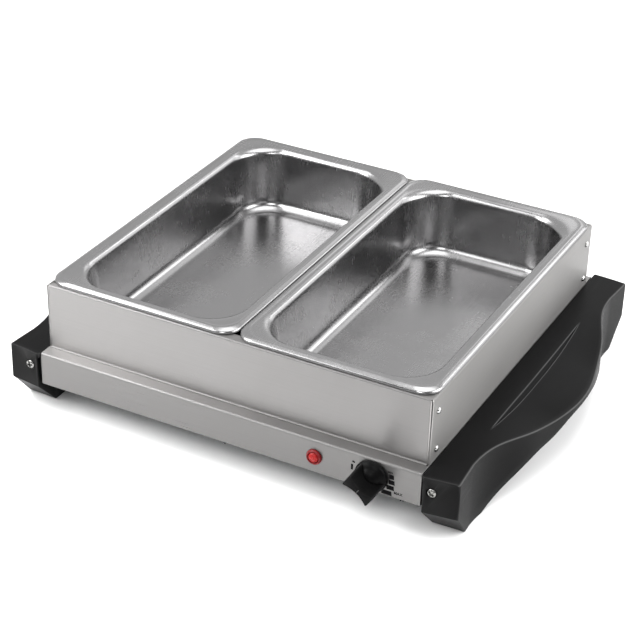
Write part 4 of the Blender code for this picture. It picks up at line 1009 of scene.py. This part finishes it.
def stage():
    me = bpy.data.meshes.new("floor")
    s = 6.0
    me.from_pydata([(-s, -s, 0), (s, -s, 0), (s, s, 0), (-s, s, 0)], [], [(0, 1, 2, 3)])
    floor = bpy.data.objects.new("floor", me)
    bpy.context.scene.collection.objects.link(floor)
    mat = bpy.data.materials.new("floor_pale")
    mat.use_nodes = True
    b = mat.node_tree.nodes["Principled BSDF"]
    b.inputs["Base Color"].default_value = (0.86, 0.86, 0.86, 1)
    b.inputs["Emission Color"].default_value = (1.0, 1.0, 1.0, 1)
    b.inputs["Emission Strength"].default_value = 0.0
    b.inputs["Roughness"].default_value = 0.9
    b.inputs["Specular IOR Level"].default_value = 0.1
    me.materials.append(mat)

    w = bpy.data.worlds.new("studio")
    bpy.context.scene.world = w
    w.use_nodes = True
    nt = w.node_tree
    bg = nt.nodes["Background"]
    tc = nt.nodes.new("ShaderNodeTexCoord")
    # dark room behind the camera, pale walls elsewhere, dimmer near the floor
    dot = nt.nodes.new("ShaderNodeVectorMath")
    dot.operation = "DOT_PRODUCT"
    nt.links.new(tc.outputs["Generated"], dot.inputs[0])
    dot.inputs[1].default_value = (0.45, -0.89, 0.0)
    ramp = nt.nodes.new("ShaderNodeMapRange")
    ramp.interpolation_type = "SMOOTHSTEP"
    ramp.inputs["From Min"].default_value = 0.20
    ramp.inputs["From Max"].default_value = 0.74
    ramp.inputs["To Min"].default_value = 1.00
    ramp.inputs["To Max"].default_value = 0.08
    nt.links.new(dot.outputs["Value"], ramp.inputs["Value"])
    sep = nt.nodes.new("ShaderNodeSeparateXYZ")
    nt.links.new(tc.outputs["Generated"], sep.inputs[0])
    low = nt.nodes.new("ShaderNodeMapRange")
    low.interpolation_type = "SMOOTHSTEP"
    low.inputs["From Min"].default_value = 0.0
    low.inputs["From Max"].default_value = 0.45
    low.inputs["To Min"].default_value = 0.35
    low.inputs["To Max"].default_value = 1.0
    nt.links.new(sep.outputs["Z"], low.inputs["Value"])
    front = nt.nodes.new("ShaderNodeMapRange")
    front.interpolation_type = "SMOOTHSTEP"
    front.inputs["From Min"].default_value = -0.5
    front.inputs["From Max"].default_value = 0.1
    nt.links.new(sep.outputs["Y"], front.inputs["Value"])
    both = nt.nodes.new("ShaderNodeMath")
    both.operation = "MAXIMUM"
    nt.links.new(low.outputs["Result"], both.inputs[0])
    nt.links.new(front.outputs["Result"], both.inputs[1])
    mul = nt.nodes.new("ShaderNodeMath")
    mul.operation = "MULTIPLY"
    nt.links.new(ramp.outputs["Result"], mul.inputs[0])
    nt.links.new(both.outputs[0], mul.inputs[1])
    nt.links.new(mul.outputs[0], bg.inputs["Color"])
    bg.inputs["Strength"].default_value = 1.0

    area("near_box", (-0.45, -0.38, 0.46), (-0.10, -0.18, 0.03), 0.36, 3.7, size_y=0.34)
    area("front_box", (-0.54, -0.74, 0.70), (0, -0.1, 0.03), 0.66, 4.4, size_y=0.50)
    area("key_box", (-0.95, -0.30, 1.30), (0, 0, 0.08), 0.6, 5.0, size_y=0.5)
    area("top_box", (0.17, 0.05, 1.70), (0.17, 0.03, 0.05), 1.06, 17.0, size_y=1.4)
    area("back_box", (1.25, 1.55, 0.75), (0, 0, 0.1), 1.3, 8.6, size_y=1.3)
    area("rim_card", (0.0, 1.28, 0.86), (0.1, 0, 0.12), 0.6, 1.5, size_y=0.5)
    area("side_card", (1.40, 0.20, 0.80), (0.24, -0.05, 0.0), 1.1, 24.0, size_y=1.1)
    area("rim_card_right", (0.72, 1.22, 0.82), (0.17, -0.05, 0.12), 0.34, 1.3, size_y=0.30)
    area("floor_box_right", (0.30, -1.05, 0.85), (0.22, -0.10, 0.0), 0.44, 5.0, size_y=0.40)
    vs = bpy.context.scene.view_settings
    vs.view_transform = "Standard"
    vs.look = "None"


make_base()
make_frame()
make_pan("left", -1)
make_pan("right", 1)
make_handles()
make_cover_screws()
make_knob()
make_lamp()
make_gland()
make_dial()
finish_nodes()
camera()
stage()
